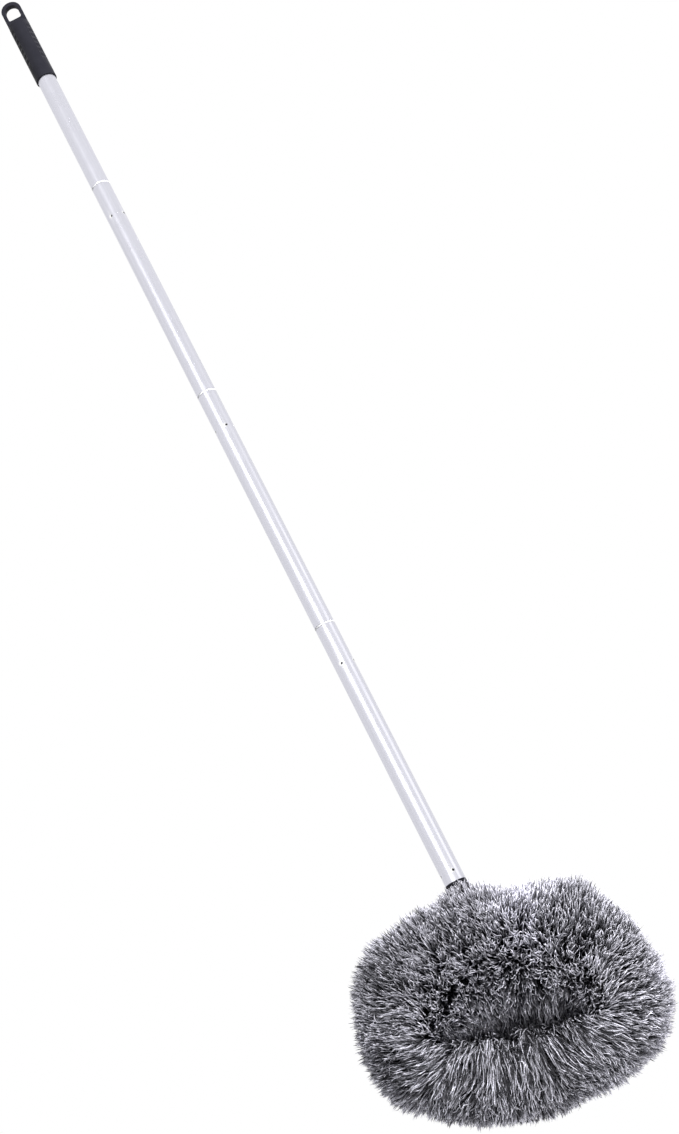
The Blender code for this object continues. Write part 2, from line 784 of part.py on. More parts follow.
def pile_slice(name, angles, leave_out, uneven):
    """One slice of the cover: a closed sleeve of backing whose outer cells each carry a four-sided tuft.

    The sleeve's stations follow the angles along the loop. Cells named in leave_out stay open, for the
    neck, and every open edge gets a wall between the outer and inner faces.
    """
    bm = bmesh.new()

    def station(angle, inside):
        points = []
        for out, across in backing_ring(angle, inside):
            along, up = cover_place(angle, out)
            points.append(bm.verts.new((along, across, up)))
        return points

    outer = [station(angle, False) for angle in angles]
    inner = [station(angle, True) for angle in angles]
    count = len(outer[0])
    rows = len(angles) - 1

    def is_there(row, cell):
        return 0 <= row < rows and (row, cell % count) not in leave_out

    for row in range(rows):
        for cell in range(count):
            if not is_there(row, cell):
                continue
            after = (cell + 1) % count
            corners = ((row, cell), (row, after), (row + 1, after), (row + 1, cell))
            add_face(bm, [inner[i][j] for i, j in reversed(corners)])
            beyond = ((row - 1, cell), (row, cell + 1), (row + 1, cell), (row, cell - 1))
            for edge, neighbour in enumerate(beyond):
                if not is_there(*neighbour):
                    (a, b), (c, d) = corners[edge], corners[(edge + 1) % 4]
                    add_face(bm, (outer[a][b], outer[c][d], inner[c][d], inner[a][b]))
            around = math.tau * (cell - 1) / count
            end = pile_edge((angles[row] + angles[row + 1]) / 2, around)
            grow_tuft(bm, [outer[i][j] for i, j in corners], end, uneven)
    return mesh_from(bm, name, smooth=False)


def grow_tuft(bm, root, end, uneven):
    """Raises a cell of the backing to a tapered tuft with a waist and a point."""
    corners = np.array([vert.co for vert in root])
    centre = corners.mean(axis=0)
    tip = centre + (end - centre) * (1 + TUFT_UNEVEN * uneven.uniform(-1, 0))
    middle = centre + (tip - centre) * TUFT_WAIST_HEIGHT
    waist = [bm.verts.new(middle + (corner - centre) * TUFT_WAIST) for corner in corners]
    bridge(bm, root, waist)
    point = bm.verts.new(tip)
    for index in range(len(waist)):
        add_face(bm, (waist[index], waist[(index + 1) % len(waist)], point))


def make_cover(loop, pile):
    """The seven slices of the cover, the first over the hub and three down each side."""
    uneven = np.random.default_rng(PILE_SEED)
    hub_angle, spans = cover_spans()
    seam = GAP / 2 / LOOP_HALF_HEIGHT
    over_hub = np.linspace(-hub_angle + seam, hub_angle - seam, 5)
    neck_cells = {(1, 1), (2, 1)}
    piece("pile_top", pile_slice("pile_top", over_hub, neck_cells, uneven), pile, loop)
    for side in ("right", "left"):
        for part, angles in spans.items():
            name = f"pile_{side}_end" if part == "end" else f"pile_{part}_{side}"
            angles = np.concatenate(([angles[0] + seam], angles[1:-1], [angles[-1] - seam]))
            if side == "left":
                angles = math.tau - angles[::-1]
            piece(name, pile_slice(name, angles, set(), uneven), pile, loop)


def make_elastic(head, cloth):
    """The elastic of the cover round the neck, above the backing."""
    lean = math.radians(HEAD_LEAN)
    centre_radius = NECK_RADIUS + GAP + ELASTIC_RADIUS
    reach = centre_radius + ELASTIC_RADIUS
    over_backing = HUB_HEIGHT / 2 + BACKING + 2 * GAP + ELASTIC_RADIUS + reach * math.sin(lean)
    height = -HUB_DROP + over_backing / math.cos(lean)
    profile = []
    for index in range(6):
        angle = math.tau * (index + 0.5) / 6
        radius = centre_radius + ELASTIC_RADIUS * math.cos(angle)
        profile.append((radius, height + ELASTIC_RADIUS * math.sin(angle)))
    piece("neck_elastic", turned("neck_elastic", profile, NECK_SEGMENTS), cloth, head)


def make_head(parent, black, moulding, steel, strip, pile, cloth):
    """Everything below the collar ring: neck, hub, loop and cover."""
    piece("neck", neck_solid("neck"), black, parent)
    loop = axis_empty("loop_frame_axis", -HUB_DROP, parent)
    loop.rotation_euler.y = math.radians(HEAD_LEAN)
    make_hub(loop, parent, moulding, steel)
    piece("loop_frame", strip_solid("loop_frame", 0.0, whole=True), strip, loop)
    make_elastic(parent, cloth)
    make_cover(loop, pile)


def main():
    clear_scene()
    aluminium = finish("aluminium", (0.72, 0.72, 0.75), 0.35, 0.9)
    black = finish("black_plastic", (0.02, 0.02, 0.022), 0.5)
    white = finish("white_plastic", (0.82, 0.82, 0.83), 0.45)
    grey = finish("grey_plastic", (0.32, 0.33, 0.35), 0.5)
    strip = finish("loop_strip", (0.75, 0.74, 0.70), 0.4)
    steel = finish("screw_steel", (0.55, 0.55, 0.56), 0.35, 1.0)
    pile = finish("grey_pile", (0.25, 0.25, 0.28), 0.9)
    cloth = finish("elastic", (0.18, 0.18, 0.20), 0.9)

    handle = axis_empty("handle_axis", 0.0)
    make_grip(handle, black)
    make_top_section(handle, aluminium, white)
    parent = handle
    height = 0.0
    for number in (2, 3, 4):
        parent = axis_empty(f"section_{number}_axis", JOINT_Z[number - 2] - height, parent)
        height = JOINT_Z[number - 2]
        ring_mesh = washer("joint_ring", RING_THICKNESS)
        piece(f"joint_ring_{number - 1}", ring_mesh, white, parent)
        make_section(number, parent, aluminium, grey)
    head = axis_empty("head_axis", -SECTION_PITCH, parent)
    piece("collar_ring", washer("collar_ring", COLLAR_THICKNESS), black, head)
    make_head(head, black, grey, steel, strip, pile, cloth)


main()
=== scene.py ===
# %% [markdown]
# # A ceiling fan duster
#
# The duster is a pole of four screwed aluminium sections, with a moulded grip at the top and an oval
# head of soft grey pile at the foot. The CAD model gives each piece its size and place. This script
# keeps those pieces and adds what the eye sees: drawn metal with punched stakes, a ribbed grip, true
# threads, and a head with tens of thousands of soft strands.
#
# Heights run down from the top of the hang hole, in metres, and the head's front faces -Y.

# %% Load the CAD pieces
import math

import bpy
import numpy as np
from mathutils import Matrix, Vector


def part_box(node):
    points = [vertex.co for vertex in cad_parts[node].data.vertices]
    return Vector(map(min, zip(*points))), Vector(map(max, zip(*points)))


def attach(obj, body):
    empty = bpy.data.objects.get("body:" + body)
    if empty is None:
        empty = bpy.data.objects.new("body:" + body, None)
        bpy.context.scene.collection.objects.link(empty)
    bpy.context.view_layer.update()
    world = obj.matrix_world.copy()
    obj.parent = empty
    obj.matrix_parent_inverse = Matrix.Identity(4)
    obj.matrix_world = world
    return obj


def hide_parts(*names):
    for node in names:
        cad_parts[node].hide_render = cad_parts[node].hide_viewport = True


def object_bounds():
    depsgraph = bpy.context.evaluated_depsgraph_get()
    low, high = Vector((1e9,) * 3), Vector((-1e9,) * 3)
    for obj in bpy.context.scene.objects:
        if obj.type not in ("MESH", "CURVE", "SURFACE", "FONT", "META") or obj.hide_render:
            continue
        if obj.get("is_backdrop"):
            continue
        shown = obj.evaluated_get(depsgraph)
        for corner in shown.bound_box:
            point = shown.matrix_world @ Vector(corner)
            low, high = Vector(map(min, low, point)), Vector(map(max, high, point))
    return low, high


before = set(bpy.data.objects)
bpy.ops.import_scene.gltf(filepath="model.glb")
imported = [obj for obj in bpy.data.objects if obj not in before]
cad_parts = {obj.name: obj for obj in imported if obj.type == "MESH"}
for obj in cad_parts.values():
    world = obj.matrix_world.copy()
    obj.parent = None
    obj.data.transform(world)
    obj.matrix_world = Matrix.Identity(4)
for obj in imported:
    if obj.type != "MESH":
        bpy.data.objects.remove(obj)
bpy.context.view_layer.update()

# %% [markdown]
# ## Sizes that both models share
#
# These are the sizes of the CAD pieces that the finer pieces stand for. Heights come from the CAD
# pieces' own boxes, so a piece always lies where its CAD piece lies.

# %% Shared sizes, in metres
TUBE_RADIUS = 0.011
TUBE_BORE = 0.0102
INSERT_RADIUS = 0.0099
THREAD_ROOT = 0.0056
THREAD_CREST = 0.0070
THREAD_CLEARANCE = 0.0004
THREAD_PITCH = 0.004
THREAD_LENGTH = 0.014
PLUG_BORE = 0.0034
PLUG_WAIST = 0.0089
STAKE_RADIUS = 0.0013
STAKE_COUNT = 4
STAKE_DROP = 0.046
GRIP_RADIUS = 0.0126
LOOP_LEAN = math.radians(11)
LOOP_SWAY = 0.0865
LOOP_HALF_WIDTH = 0.102
LOOP_HALF_HEIGHT = 0.0608
HUB_DROP = 0.072
SECTION_TURNS = {2: -24.0, 3: 22.0, 4: -10.0}
EDGE = 0.0003
GAP = 0.0003

foot_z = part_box("collar_ring")[0].z - GAP
joints = {number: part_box(f"tube_{number}")[1].z for number in (2, 3, 4)}
hub = Vector((0.0, 0.0, foot_z - HUB_DROP))
print("joints at", {number: round(z, 4) for number, z in joints.items()})
print("the head screws on at", round(foot_z, 4))

# %% [markdown]
# ## Surfaces from formulas
#
# Nearly every piece of a duster is turned, drawn or moulded round an axis, so one tool is enough. It
# takes a grid of points, row after row along the piece and column after column round it, and joins it
# to a closed skin with its own flat map for baking. A profile that comes back to its start gives a
# ring or a tube. An open one gets a flat cap at both ends.


# %% The skin tool
def put(name, data):
    """Makes an object of some data and puts it in the scene."""
    obj = bpy.data.objects.new(name, data)
    bpy.context.scene.collection.objects.link(obj)
    return obj


def make_mesh(name, points, face_sets, map_sets):
    """Makes an object from points and sets of faces with equal corner counts, faces turned outwards.

    A closed skin's faces and the origin span cones. If their signed volumes sum to less than nought,
    the faces look inwards and are turned round.
    """
    volume = 0.0
    for faces in face_sets:
        for third in range(2, faces.shape[1]):
            a, b, c = points[faces[:, 0]], points[faces[:, third - 1]], points[faces[:, third]]
            volume += np.einsum("ij,ij->", a, np.cross(b, c))
    if volume < 0:
        face_sets = [faces[:, ::-1] for faces in face_sets]
        map_sets = [places[:, ::-1] for places in map_sets]
    corners = np.concatenate([faces.ravel() for faces in face_sets]).astype(np.int32)
    counts = np.concatenate([np.full(len(faces), faces.shape[1]) for faces in face_sets])
    starts = (np.cumsum(counts) - counts).astype(np.int32)
    places = np.concatenate([places.reshape(-1, 2) for places in map_sets])
    mesh = bpy.data.meshes.new(name)
    mesh.vertices.add(len(points))
    mesh.vertices.foreach_set("co", np.ascontiguousarray(points, dtype=np.float32).ravel())
    mesh.loops.add(len(corners))
    mesh.loops.foreach_set("vertex_index", corners)
    mesh.polygons.add(len(counts))
    mesh.polygons.foreach_set("loop_start", starts)
    mesh.update(calc_edges=True)
    layer = mesh.uv_layers.new(name="OFBake")
    layer.uv.foreach_set("vector", np.ascontiguousarray(places, dtype=np.float32).ravel())
    mesh.shade_smooth()
    return put(name, mesh)


def carry(obj, label, values):
    """Gives a mesh one number for each of its points, which a material reads by the label."""
    layer = obj.data.attributes.new(label, "FLOAT", "POINT")
    layer.data.foreach_set("value", np.asarray(values, dtype=np.float32).ravel())


def round_angles(count):
    """The even angles of one full turn: 2 pi i / count."""
    return math.tau * np.arange(count) / count


def grid_faces(rows, columns, closed):
    """Corner numbers and map places of the faces between neighbouring rows and columns of a grid."""
    row_steps = rows if closed else rows - 1
    row, column = np.meshgrid(np.arange(row_steps), np.arange(columns), indexing="ij")
    corners = [(row, column), (row, column + 1), (row + 1, column + 1), (row + 1, column)]
    faces = np.stack([(r % rows) * columns + c % columns for r, c in corners], axis=-1)
    places = np.stack([np.stack([c / columns, r / row_steps], -1) for r, c in corners], axis=-2)
    return faces.reshape(-1, 4), places.reshape(-1, 4, 2)


def skin(name, points, closed=True):
    """Joins a grid of points to a closed skin. An open profile gets a cap over its first and last row."""
    rows, columns = points.shape[:2]
    faces, places = grid_faces(rows, columns, closed)
    face_sets, map_sets = [faces], [places * (1.0, 0.9)]
    if not closed:
        angles = round_angles(columns)
        disc = 0.045 * np.stack([np.cos(angles), np.sin(angles)], -1)
        for end, order, middle in ((0, -1, 0.05), (rows - 1, 1, 0.15)):
            face_sets.append((end * columns + np.arange(columns))[None, ::order])
            map_sets.append((disc + (middle, 0.95))[None, ::order])
    obj = make_mesh(name, points.reshape(-1, 3), face_sets, map_sets)
    obj.data.set_sharp_from_angle(angle=math.radians(50))
    return obj


def around(radii, heights, turn=0.0):
    """Points round the pole's axis: x = r cos a, y = r sin a, z = height, for each row and angle."""
    radii = np.asarray(radii, dtype=float)
    if radii.ndim == 1:
        radii = np.repeat(radii[:, None], 96, axis=1)
    angles = round_angles(radii.shape[1]) + math.radians(turn)
    heights = np.broadcast_to(np.asarray(heights, dtype=float).reshape(len(radii), -1), radii.shape)
    return np.stack([radii * np.cos(angles), radii * np.sin(angles), heights], axis=-1)


def wall(radius, heights):
    """Rows of a profile's straight wall, as (radius, height)."""
    return np.stack([np.full(len(heights), radius), heights], axis=-1)


def corner(radius, height, size, start, steps=4):
    """Rows of a profile's rounded corner: a quarter circle from a start angle, in degrees.

    Its middle lies one size in from the corner along both axes. With one step it is a chamfer.
    """
    r = radius - math.copysign(size, math.cos(math.radians(start + 45)))
    z = height - math.copysign(size, math.sin(math.radians(start + 45)))
    angles = np.radians(np.linspace(start, start + 90, steps + 1))
    return np.stack([r + size * np.cos(angles), z + size * np.sin(angles)], axis=-1)


def between(value, low, high, rise, fall):
    """One between two places and nought outside them, with a straight rise and fall inside."""
    return np.clip((value - low) / rise, 0, 1) * np.clip((high - value) / fall, 0, 1)


def smooth(share):
    """The same share, from nought to one, with level ends: s^2 (3 - 2 s)."""
    return share * share * (3 - 2 * share)


def bell(value, width):
    """One at nought, falling off on both sides: exp(-(value / width)^2)."""
    return np.exp(-((value / width) ** 2))


def unit(vectors):
    """The same directions with a length of one."""
    return vectors / (np.linalg.norm(vectors, axis=-1, keepdims=True) + 1e-12)


# %% [markdown]
# ## Finishes
#
# Real finishes are never one flat colour. Each of these effects is a node group of its own, measured
# in real sizes, that other objects can use again: the pebbled grain of a moulding, the fine lines
# that a die leaves along a drawn tube, the smudges that hands leave, the ribs of knitted cloth and
# the shading of a strand of pile from root to tip.


# %% Tools for node groups
def new_group(name, inputs, outputs):
    """An empty shader group that takes a Vector and the named values and colours."""
    tree = bpy.data.node_groups.new(name, "ShaderNodeTree")
    tree.interface.new_socket("Vector", in_out="INPUT", socket_type="NodeSocketVector")
    for label, value in inputs.items():
        kind = "NodeSocketColor" if isinstance(value, tuple) else "NodeSocketFloat"
        tree.interface.new_socket(label, in_out="INPUT", socket_type=kind).default_value = value
    for label in outputs:
        kind = "NodeSocketColor" if label == "Colour" else "NodeSocketFloat"
        tree.interface.new_socket(label, in_out="OUTPUT", socket_type=kind)
    return tree, tree.nodes.new("NodeGroupInput").outputs, tree.nodes.new("NodeGroupOutput").inputs


def feed(tree, inputs, **values):
    """Feeds sockets from other sockets or values, by name, or by number as i0, i1 and so on."""
    for key, value in values.items():
        socket = inputs[int(key[1:])] if key[1:].isdigit() else inputs[key.replace("_", " ")]
        if isinstance(value, bpy.types.NodeSocket):
            tree.links.new(value, socket)
        else:
            socket.default_value = value


def add(tree, kind, settings=None, **values):
    """Adds a node with its own settings, and feeds its inputs."""
    node = tree.nodes.new(kind)
    for key, value in (settings or {}).items():
        setattr(node, key, value)
    feed(tree, node.inputs, **values)
    return node


def maths(tree, operation, a, b=0.0, c=0.0, clamp=False):
    """One step of arithmetic, as a socket."""
    node = add(tree, "ShaderNodeMath", {"operation": operation, "use_clamp": clamp}, i0=a, i1=b, i2=c)
    return node.outputs[0]


def mixed(tree, share, a, b):
    """A blend of two colours, as a socket."""
    node = add(tree, "ShaderNodeMix", {"data_type": "RGBA"}, i0=share, i6=a, i7=b)
    return node.outputs[2]


def noise(tree, where, scale, detail, distortion=0.0):
    """A cloudy pattern from 0 to 1, as a socket."""
    values = {"Scale": scale, "Detail": detail, "Distortion": distortion}
    return add(tree, "ShaderNodeTexNoise", Vector=where, **values).outputs[0]


# %% [markdown]
# The grain of a moulding comes from the spark-eroded steel of its mould: shallow pebbles about a
# third of a millimetre wide, with slower clouds where the mould was polished a little more.

# %% Group: moulded grain
grain, given, gives = new_group("Moulded grain", {"Grain per metre": 3000.0}, ["Height", "Cloud"])
where, per_metre = given["Vector"], given["Grain per metre"]
pebbles = add(grain, "ShaderNodeTexVoronoi", Vector=where, Scale=per_metre).outputs["Distance"]
height = maths(grain, "MULTIPLY_ADD", noise(grain, where, per_metre, 3.0), 0.5, pebbles)
feed(grain, gives, Height=height, Cloud=noise(grain, where, 90.0, 3.0))

# %% [markdown]
# A tube is drawn through a die, and each tiny nick in the die leaves a line that runs the whole
# length of the tube. Noise that is stretched a hundredfold along Z gives such lines.

# %% Group: drawn metal
drawn, given, gives = new_group("Drawn metal", {"Lines per metre": 2500.0}, ["Height", "Shade"])
stretched = add(drawn, "ShaderNodeMapping", Vector=given["Vector"], Scale=(1.0, 1.0, 0.01)).outputs[0]
lines = noise(drawn, stretched, given["Lines per metre"], 2.0)
feed(drawn, gives, Height=lines, Shade=noise(drawn, stretched, 500.0, 2.0))

# %% [markdown]
# Hands leave thin smears. They hardly change the colour, but they change how sharp a reflection is,
# so they go to the roughness.

# %% Group: smudges
smudges, given, gives = new_group("Smudges", {"Least": 0.3, "Most": 0.5}, ["Roughness"])
smears = noise(smudges, given["Vector"], 60.0, 4.0, distortion=0.6)
reach = {"From_Min": 0.35, "From_Max": 0.7, "To_Min": given["Least"], "To_Max": given["Most"]}
feed(smudges, gives, Roughness=add(smudges, "ShaderNodeMapRange", Value=smears, **reach).outputs[0])

# %% [markdown]
# Knitted cloth has columns of stitches one way and rows the other. Two crossed waves, with some
# noise to loosen them, are close enough at arm's length.

# %% Group: knitted cloth
knit, given, gives = new_group("Knitted cloth", {"Stitches per metre": 700.0}, ["Height", "Shade"])
scale = maths(knit, "MULTIPLY", given["Stitches per metre"], 0.16)
ribs = []
for axis in ("X", "Z"):
    bands = {"wave_type": "BANDS", "bands_direction": axis}
    wave = add(knit, "ShaderNodeTexWave", bands, Vector=given["Vector"], Scale=scale, Distortion=1.5)
    ribs.append(wave.outputs["Fac"])
stitches = maths(knit, "MULTIPLY", *ribs)
shade = maths(knit, "MULTIPLY_ADD", noise(knit, given["Vector"], 400.0, 3.0), 0.5, stitches)
feed(knit, gives, Height=stitches, Shade=shade)

# %% [markdown]
# A strand of pile is darkened near its root by painted shade, since little light gets in among the
# strands there, and it is paler towards its tip. Each strand also has its own tint, since the yarn was
# never dyed quite evenly. Small flecks of painted highlight and shade along its length stand for a
# fluffy yarn catching the light, and the same flecks make its surface uneven as a bump.

# %% Group: strand of pile
# The dark root colour is painted shade.
ROOT_PAINTED_SHADE, TIP_SHADE = (0.012, 0.012, 0.016, 1.0), (0.85, 0.84, 0.93, 1.0)
inputs = {"Along": 0.5, "Tint": 0.5, "Root": ROOT_PAINTED_SHADE, "Tip": TIP_SHADE}
strand, given, gives = new_group("Strand of pile", inputs, ["Colour", "Height"])
# Flecks of painted highlight and shade; the same noise is the strand's bump.
flecks = noise(strand, given["Vector"], 900.0, 2.0)
# The tip colour's share grows as Along to the fourth power, so painted shade deepens towards the root.
risen = maths(strand, "POWER", given["Along"], 4.0)
fade = maths(strand, "MULTIPLY_ADD", maths(strand, "SUBTRACT", flecks, 0.5), 1.3, risen, clamp=True)
own = maths(strand, "MULTIPLY_ADD", given["Tint"], 1.9, 0.12)
base = mixed(strand, fade, given["Root"], given["Tip"])
scaled = add(strand, "ShaderNodeVectorMath", {"operation": "SCALE"}, i0=base, Scale=own)
feed(strand, gives, Colour=scaled.outputs[0], Height=flecks)
print("node groups:", [tree.name for tree in (grain, drawn, smudges, knit, strand)])

# %% [markdown]
# ## Materials
#
# Each material is one Principled shader with constants of its own and the groups plugged in. The
# bump distances are the real depth of the texture: a few thousandths of a millimetre on metal, a few
# hundredths on a moulding and a fifth of a millimetre on knitted cloth.

# %% Tools for materials
finishes = {}


def new_material(name, colour, roughness, metallic=0.0, specular=0.5):
    """A finish, kept by its name, with its tree, its shader's inputs and the object's coordinates."""
    finishes[name] = bpy.data.materials.new(name)
    finishes[name].use_nodes = True
    tree = finishes[name].node_tree
    inputs = tree.nodes["Principled BSDF"].inputs
    feed(tree, inputs, Base_Color=(*colour, 1.0), Roughness=roughness, Metallic=metallic)
    feed(tree, inputs, Specular_IOR_Level=specular)
    return tree, inputs, add(tree, "ShaderNodeTexCoord").outputs["Object"]


def use(tree, group, **values):
    """Puts a group into a material."""
    return add(tree, "ShaderNodeGroup", {"node_tree": group}, **values).outputs


def carried(tree, label):
    """The numbers that a mesh carries under a label, as a socket."""
    return add(tree, "ShaderNodeAttribute", {"attribute_name": label}).outputs["Fac"]


def raise_surface(tree, inputs, height, depth):
    """Turns a height into a bump of a real depth."""
    bump = add(tree, "ShaderNodeBump", Strength=1.0, Distance=depth, Height=height)
    feed(tree, inputs, Normal=bump.outputs[0])


def shade_between(tree, inputs, share, dark, light):
    """Lets the colour wander between two shades."""
    feed(tree, inputs, Base_Color=mixed(tree, share, (*dark, 1.0), (*light, 1.0)))


def smudge(tree, inputs, where, least, most):
    """Lets the roughness wander between two values."""
    feed(tree, inputs, Roughness=use(tree, smudges, Vector=where, Least=least, Most=most)["Roughness"])


def moulded(name, dark, light, least, most, depth, specular=0.5):
    """A moulded plastic: pebbled, cloudy by a shade, with smudges in its gloss."""
    tree, inputs, where = new_material(name, light, least, specular=specular)
    marks = use(tree, grain, Vector=where)
    shade_between(tree, inputs, marks["Cloud"], dark, light)
    raise_surface(tree, inputs, marks["Height"], depth)
    smudge(tree, inputs, where, least, most)


def paint(obj, finish):
    """Gives every material slot of an object the same finish."""
    if not obj.material_slots:
        obj.data.materials.append(finishes[finish])
    for material_slot in obj.material_slots:
        material_slot.material = finishes[finish]


def place(obj, slot, body, *nodes, finish=None):
    """Paints a piece and lets it ride on its CAD body in place of its CAD nodes.

    The finish is the one named by the slot, unless another is given.
    """
    paint(obj, finish or slot)
    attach(obj, body)
    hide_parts(*nodes)


# %% Plastics
moulded("black_plastic", (0.009, 0.009, 0.013), (0.016, 0.016, 0.021), 0.42, 0.6, 3e-5, specular=0.12)
moulded("white_plastic", (0.80, 0.80, 0.82), (0.88, 0.88, 0.90), 0.3, 0.45, 1e-5)
moulded("grey_plastic", (0.28, 0.29, 0.31), (0.34, 0.35, 0.37), 0.4, 0.6, 2e-5)
moulded("loop_strip", (0.68, 0.67, 0.62), (0.76, 0.75, 0.70), 0.35, 0.5, 1e-5)

# %% [markdown]
# The tubes are anodised aluminium, a pale lilac-grey with a satin sheen. The drawn lines shift its
# shade by a hair and raise it by a few thousandths of a millimetre. Screws are plated steel, whose
# surface is finely sanded by tumbling.

# %% Metals
# The stakes get painted light: a white painted highlight beside each dimple and a near-black painted shade
# in its pit.
STAKE_HIGHLIGHT_PAINT, STAKE_PIT_PAINTED_SHADE = (1.0, 1.0, 1.0, 1.0), (0.01, 0.01, 0.012, 1.0)
tree, inputs, where = new_material("aluminium", (0.7, 0.7, 0.74), 0.3, metallic=0.95)
marks = use(tree, drawn, Vector=where)
clean = mixed(tree, marks["Shade"], (0.60, 0.60, 0.66, 1.0), (0.72, 0.72, 0.79, 1.0))
with_painted_highlight = mixed(tree, carried(tree, "stake_painted_highlight"), clean, STAKE_HIGHLIGHT_PAINT)
feed(tree, inputs, Base_Color=mixed(tree, carried(tree, "stake_painted_shade"), with_painted_highlight, STAKE_PIT_PAINTED_SHADE))
raise_surface(tree, inputs, marks["Height"], 4e-6)
smudge(tree, inputs, where, 0.26, 0.36)

tree, inputs, where = new_material("screw_steel", (0.55, 0.55, 0.56), 0.35, metallic=1.0)
marks = use(tree, grain, Vector=where, Grain_per_metre=6000.0)
shade_between(tree, inputs, marks["Cloud"], (0.48, 0.48, 0.49), (0.60, 0.60, 0.61))
raise_surface(tree, inputs, marks["Height"], 1e-5)

# %% Cloth and pile
tree, inputs, where = new_material("elastic", (0.18, 0.18, 0.20), 0.9, specular=0.2)
marks = use(tree, knit, Vector=where)
shade_between(tree, inputs, marks["Shade"], (0.07, 0.07, 0.08), (0.22, 0.22, 0.25))
raise_surface(tree, inputs, marks["Height"], 2e-4)

tree, inputs, where = new_material("grey_pile", (0.25, 0.25, 0.28), 0.9, specular=0.03)
marks = use(tree, strand, Vector=where, Along=carried(tree, "along"), Tint=carried(tree, "tint"))
feed(tree, inputs, Base_Color=marks["Colour"])
raise_surface(tree, inputs, marks["Height"], 1e-4)
print("materials:", list(finishes))

# %% [markdown]
# ## Tubes
#
# A tube is a closed profile turned round the axis: up the outside, over the lip, down the bore and
# back. After the moulded plug is pushed in, a press punches four stakes into it. Each leaves a dimple
# outside and a boss inside that locks the plug. In a formula this is a dent in the radius that
# depends only on the distance from the stake's centre, so rows crowd together near each stake. Beside
# each stake a white painted highlight lies on one side, and a near-black painted shade fills its pit.
# Both are painted by masks that the tube carries, worked out with the same formula.

# %% Tubes with stakes
TUBE_COLUMNS = 192
TUBE_LIP, BORE_LIP = 0.0002, 0.0001
STAKE_DEPTH, BOSS_DEPTH = 0.0009, 0.0007
# Offset round the tube and size of the painted highlight and of the painted pit shade at each stake.
STAKE_PAINTED_LIGHT = {"stake_painted_shade": (0.0004, 0.0021), "stake_painted_highlight": (-0.0008, 0.0034)}


def dent(heights, angles, radius, stake, size):
    """One where a stake's floor is, falling smoothly to nought at its rim. A stake is (height, turn)."""
    share = np.zeros(np.broadcast_shapes(heights.shape, angles.shape))
    for index in range(STAKE_COUNT):
        middle = math.radians(stake[1] - 90 + 360 * index / STAKE_COUNT)
        off = radius * (np.mod(angles - middle + math.pi, math.tau) - math.pi)
        distance = np.hypot(heights - stake[0], off) / size
        share = np.maximum(share, 1 - np.clip((distance - 0.25) / 0.75, 0, 1))
    return smooth(share)


def tube(name, stakes):
    """A drawn tube with its stakes. The painted highlight and painted pit shade of each stake are the same
    dent, moved aside and wider.
    """
    low, high = (end.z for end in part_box(name))
    rows = [np.linspace(low + EDGE, high - EDGE, 11)]
    rows += [z + np.linspace(-0.0026, 0.0026, 27) for z, _ in stakes]
    rows = np.unique(np.round(np.concatenate(rows), 6))
    outside = [corner(TUBE_RADIUS, low, TUBE_LIP, -90, 3), wall(TUBE_RADIUS, rows)]
    lips = [corner(TUBE_RADIUS, high, TUBE_LIP, 0, 3), corner(TUBE_BORE, high, BORE_LIP, 90, 2)]
    bore = [wall(TUBE_BORE, rows[::-1]), corner(TUBE_BORE, low, BORE_LIP, 180, 2)]
    profile = np.concatenate(outside + lips + bore)
    radii, heights = np.repeat(profile[:, :1], TUBE_COLUMNS, axis=1), profile[:, 1:]
    is_bore = (profile[:, :1] < TUBE_BORE + 1e-5).astype(float)
    angles = round_angles(TUBE_COLUMNS)
    for stake in stakes:
        outer_dent = dent(heights, angles, TUBE_RADIUS, stake, STAKE_RADIUS * 1.15)
        inner_dent = dent(heights, angles, TUBE_BORE, stake, STAKE_RADIUS * 1.5)
        radii -= STAKE_DEPTH * outer_dent * (1 - is_bore) + BOSS_DEPTH * inner_dent * is_bore
    obj = skin(name + "_drawn", around(radii, heights))
    # Masks of the painted highlight and the painted shade at each stake, read by the aluminium material.
    for label, (offset, size) in STAKE_PAINTED_LIGHT.items():
        moved = angles - offset / TUBE_RADIUS
        mask = np.zeros(radii.shape)
        for stake in stakes:
            mask += dent(heights, moved, TUBE_RADIUS, stake, size)
        carry(obj, label, mask * (1 - is_bore))
    return obj


def section(number):
    """The body of a section of the pole. The first one is one body with the grip."""
    return "handle" if number == 1 else f"section_{number}"


staked = {number: [(joints[number] - STAKE_DROP, turn)] for number, turn in SECTION_TURNS.items()}
staked[1] = []
staked[4].append((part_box("tube_4")[0].z + 0.0105, 20.0))
for number in (1, 2, 3, 4):
    place(tube(f"tube_{number}", staked[number]), "aluminium", section(number), f"tube_{number}")
print("stakes as height and turn:", staked)

# %% [markdown]
# ## Joint rings and collar
#
# A washer sits at each joint. It is the pale line that parts one section from the next, and the one
# at the head is black. Each is a small moulding with softened edges.


# %% Washers
def washer(name, slot, body):
    """A rectangle with four rounded corners, turned round the axis."""
    low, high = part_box(name)
    bore = THREAD_CREST + THREAD_CLEARANCE
    corners = [(high.x, low.z), (high.x, high.z), (bore, high.z), (bore, low.z)]
    profile = np.concatenate([corner(*end, EDGE, 90 * i - 90) for i, end in enumerate(corners)])
    place(skin(name + "_moulded", around(profile[:, 0], profile[:, 1])), slot, body, name)


for number in (1, 2, 3):
    washer(f"joint_ring_{number}", "white_plastic", f"ring_{number}")
washer("collar_ring", "black_plastic", "collar")

# %% [markdown]
# ## Threads
#
# The sections screw together with a coarse moulded thread of 4 mm pitch. A screw thread is a profile
# that climbs as it goes round: the radius at a point depends only on its height less the turn's share
# of the pitch. The stud's ridge and the sleeve's groove use the same formula, the groove a clearance
# wider, so they stay in step. They show when a joint is unscrewed.

# %% Threads
COLUMNS = 72
CREST_SHARE, FLANK_SHARE = 0.13, 0.18
RUN_OUT = 0.0005
ROW_STEP = 0.00016
POCKET_DEPTH = 0.00085


def thread_rows(radius, low, high):
    """Rows close enough together to draw the flanks of a thread."""
    return wall(radius, np.linspace(low, high, round(abs(high - low) / ROW_STEP) + 1))


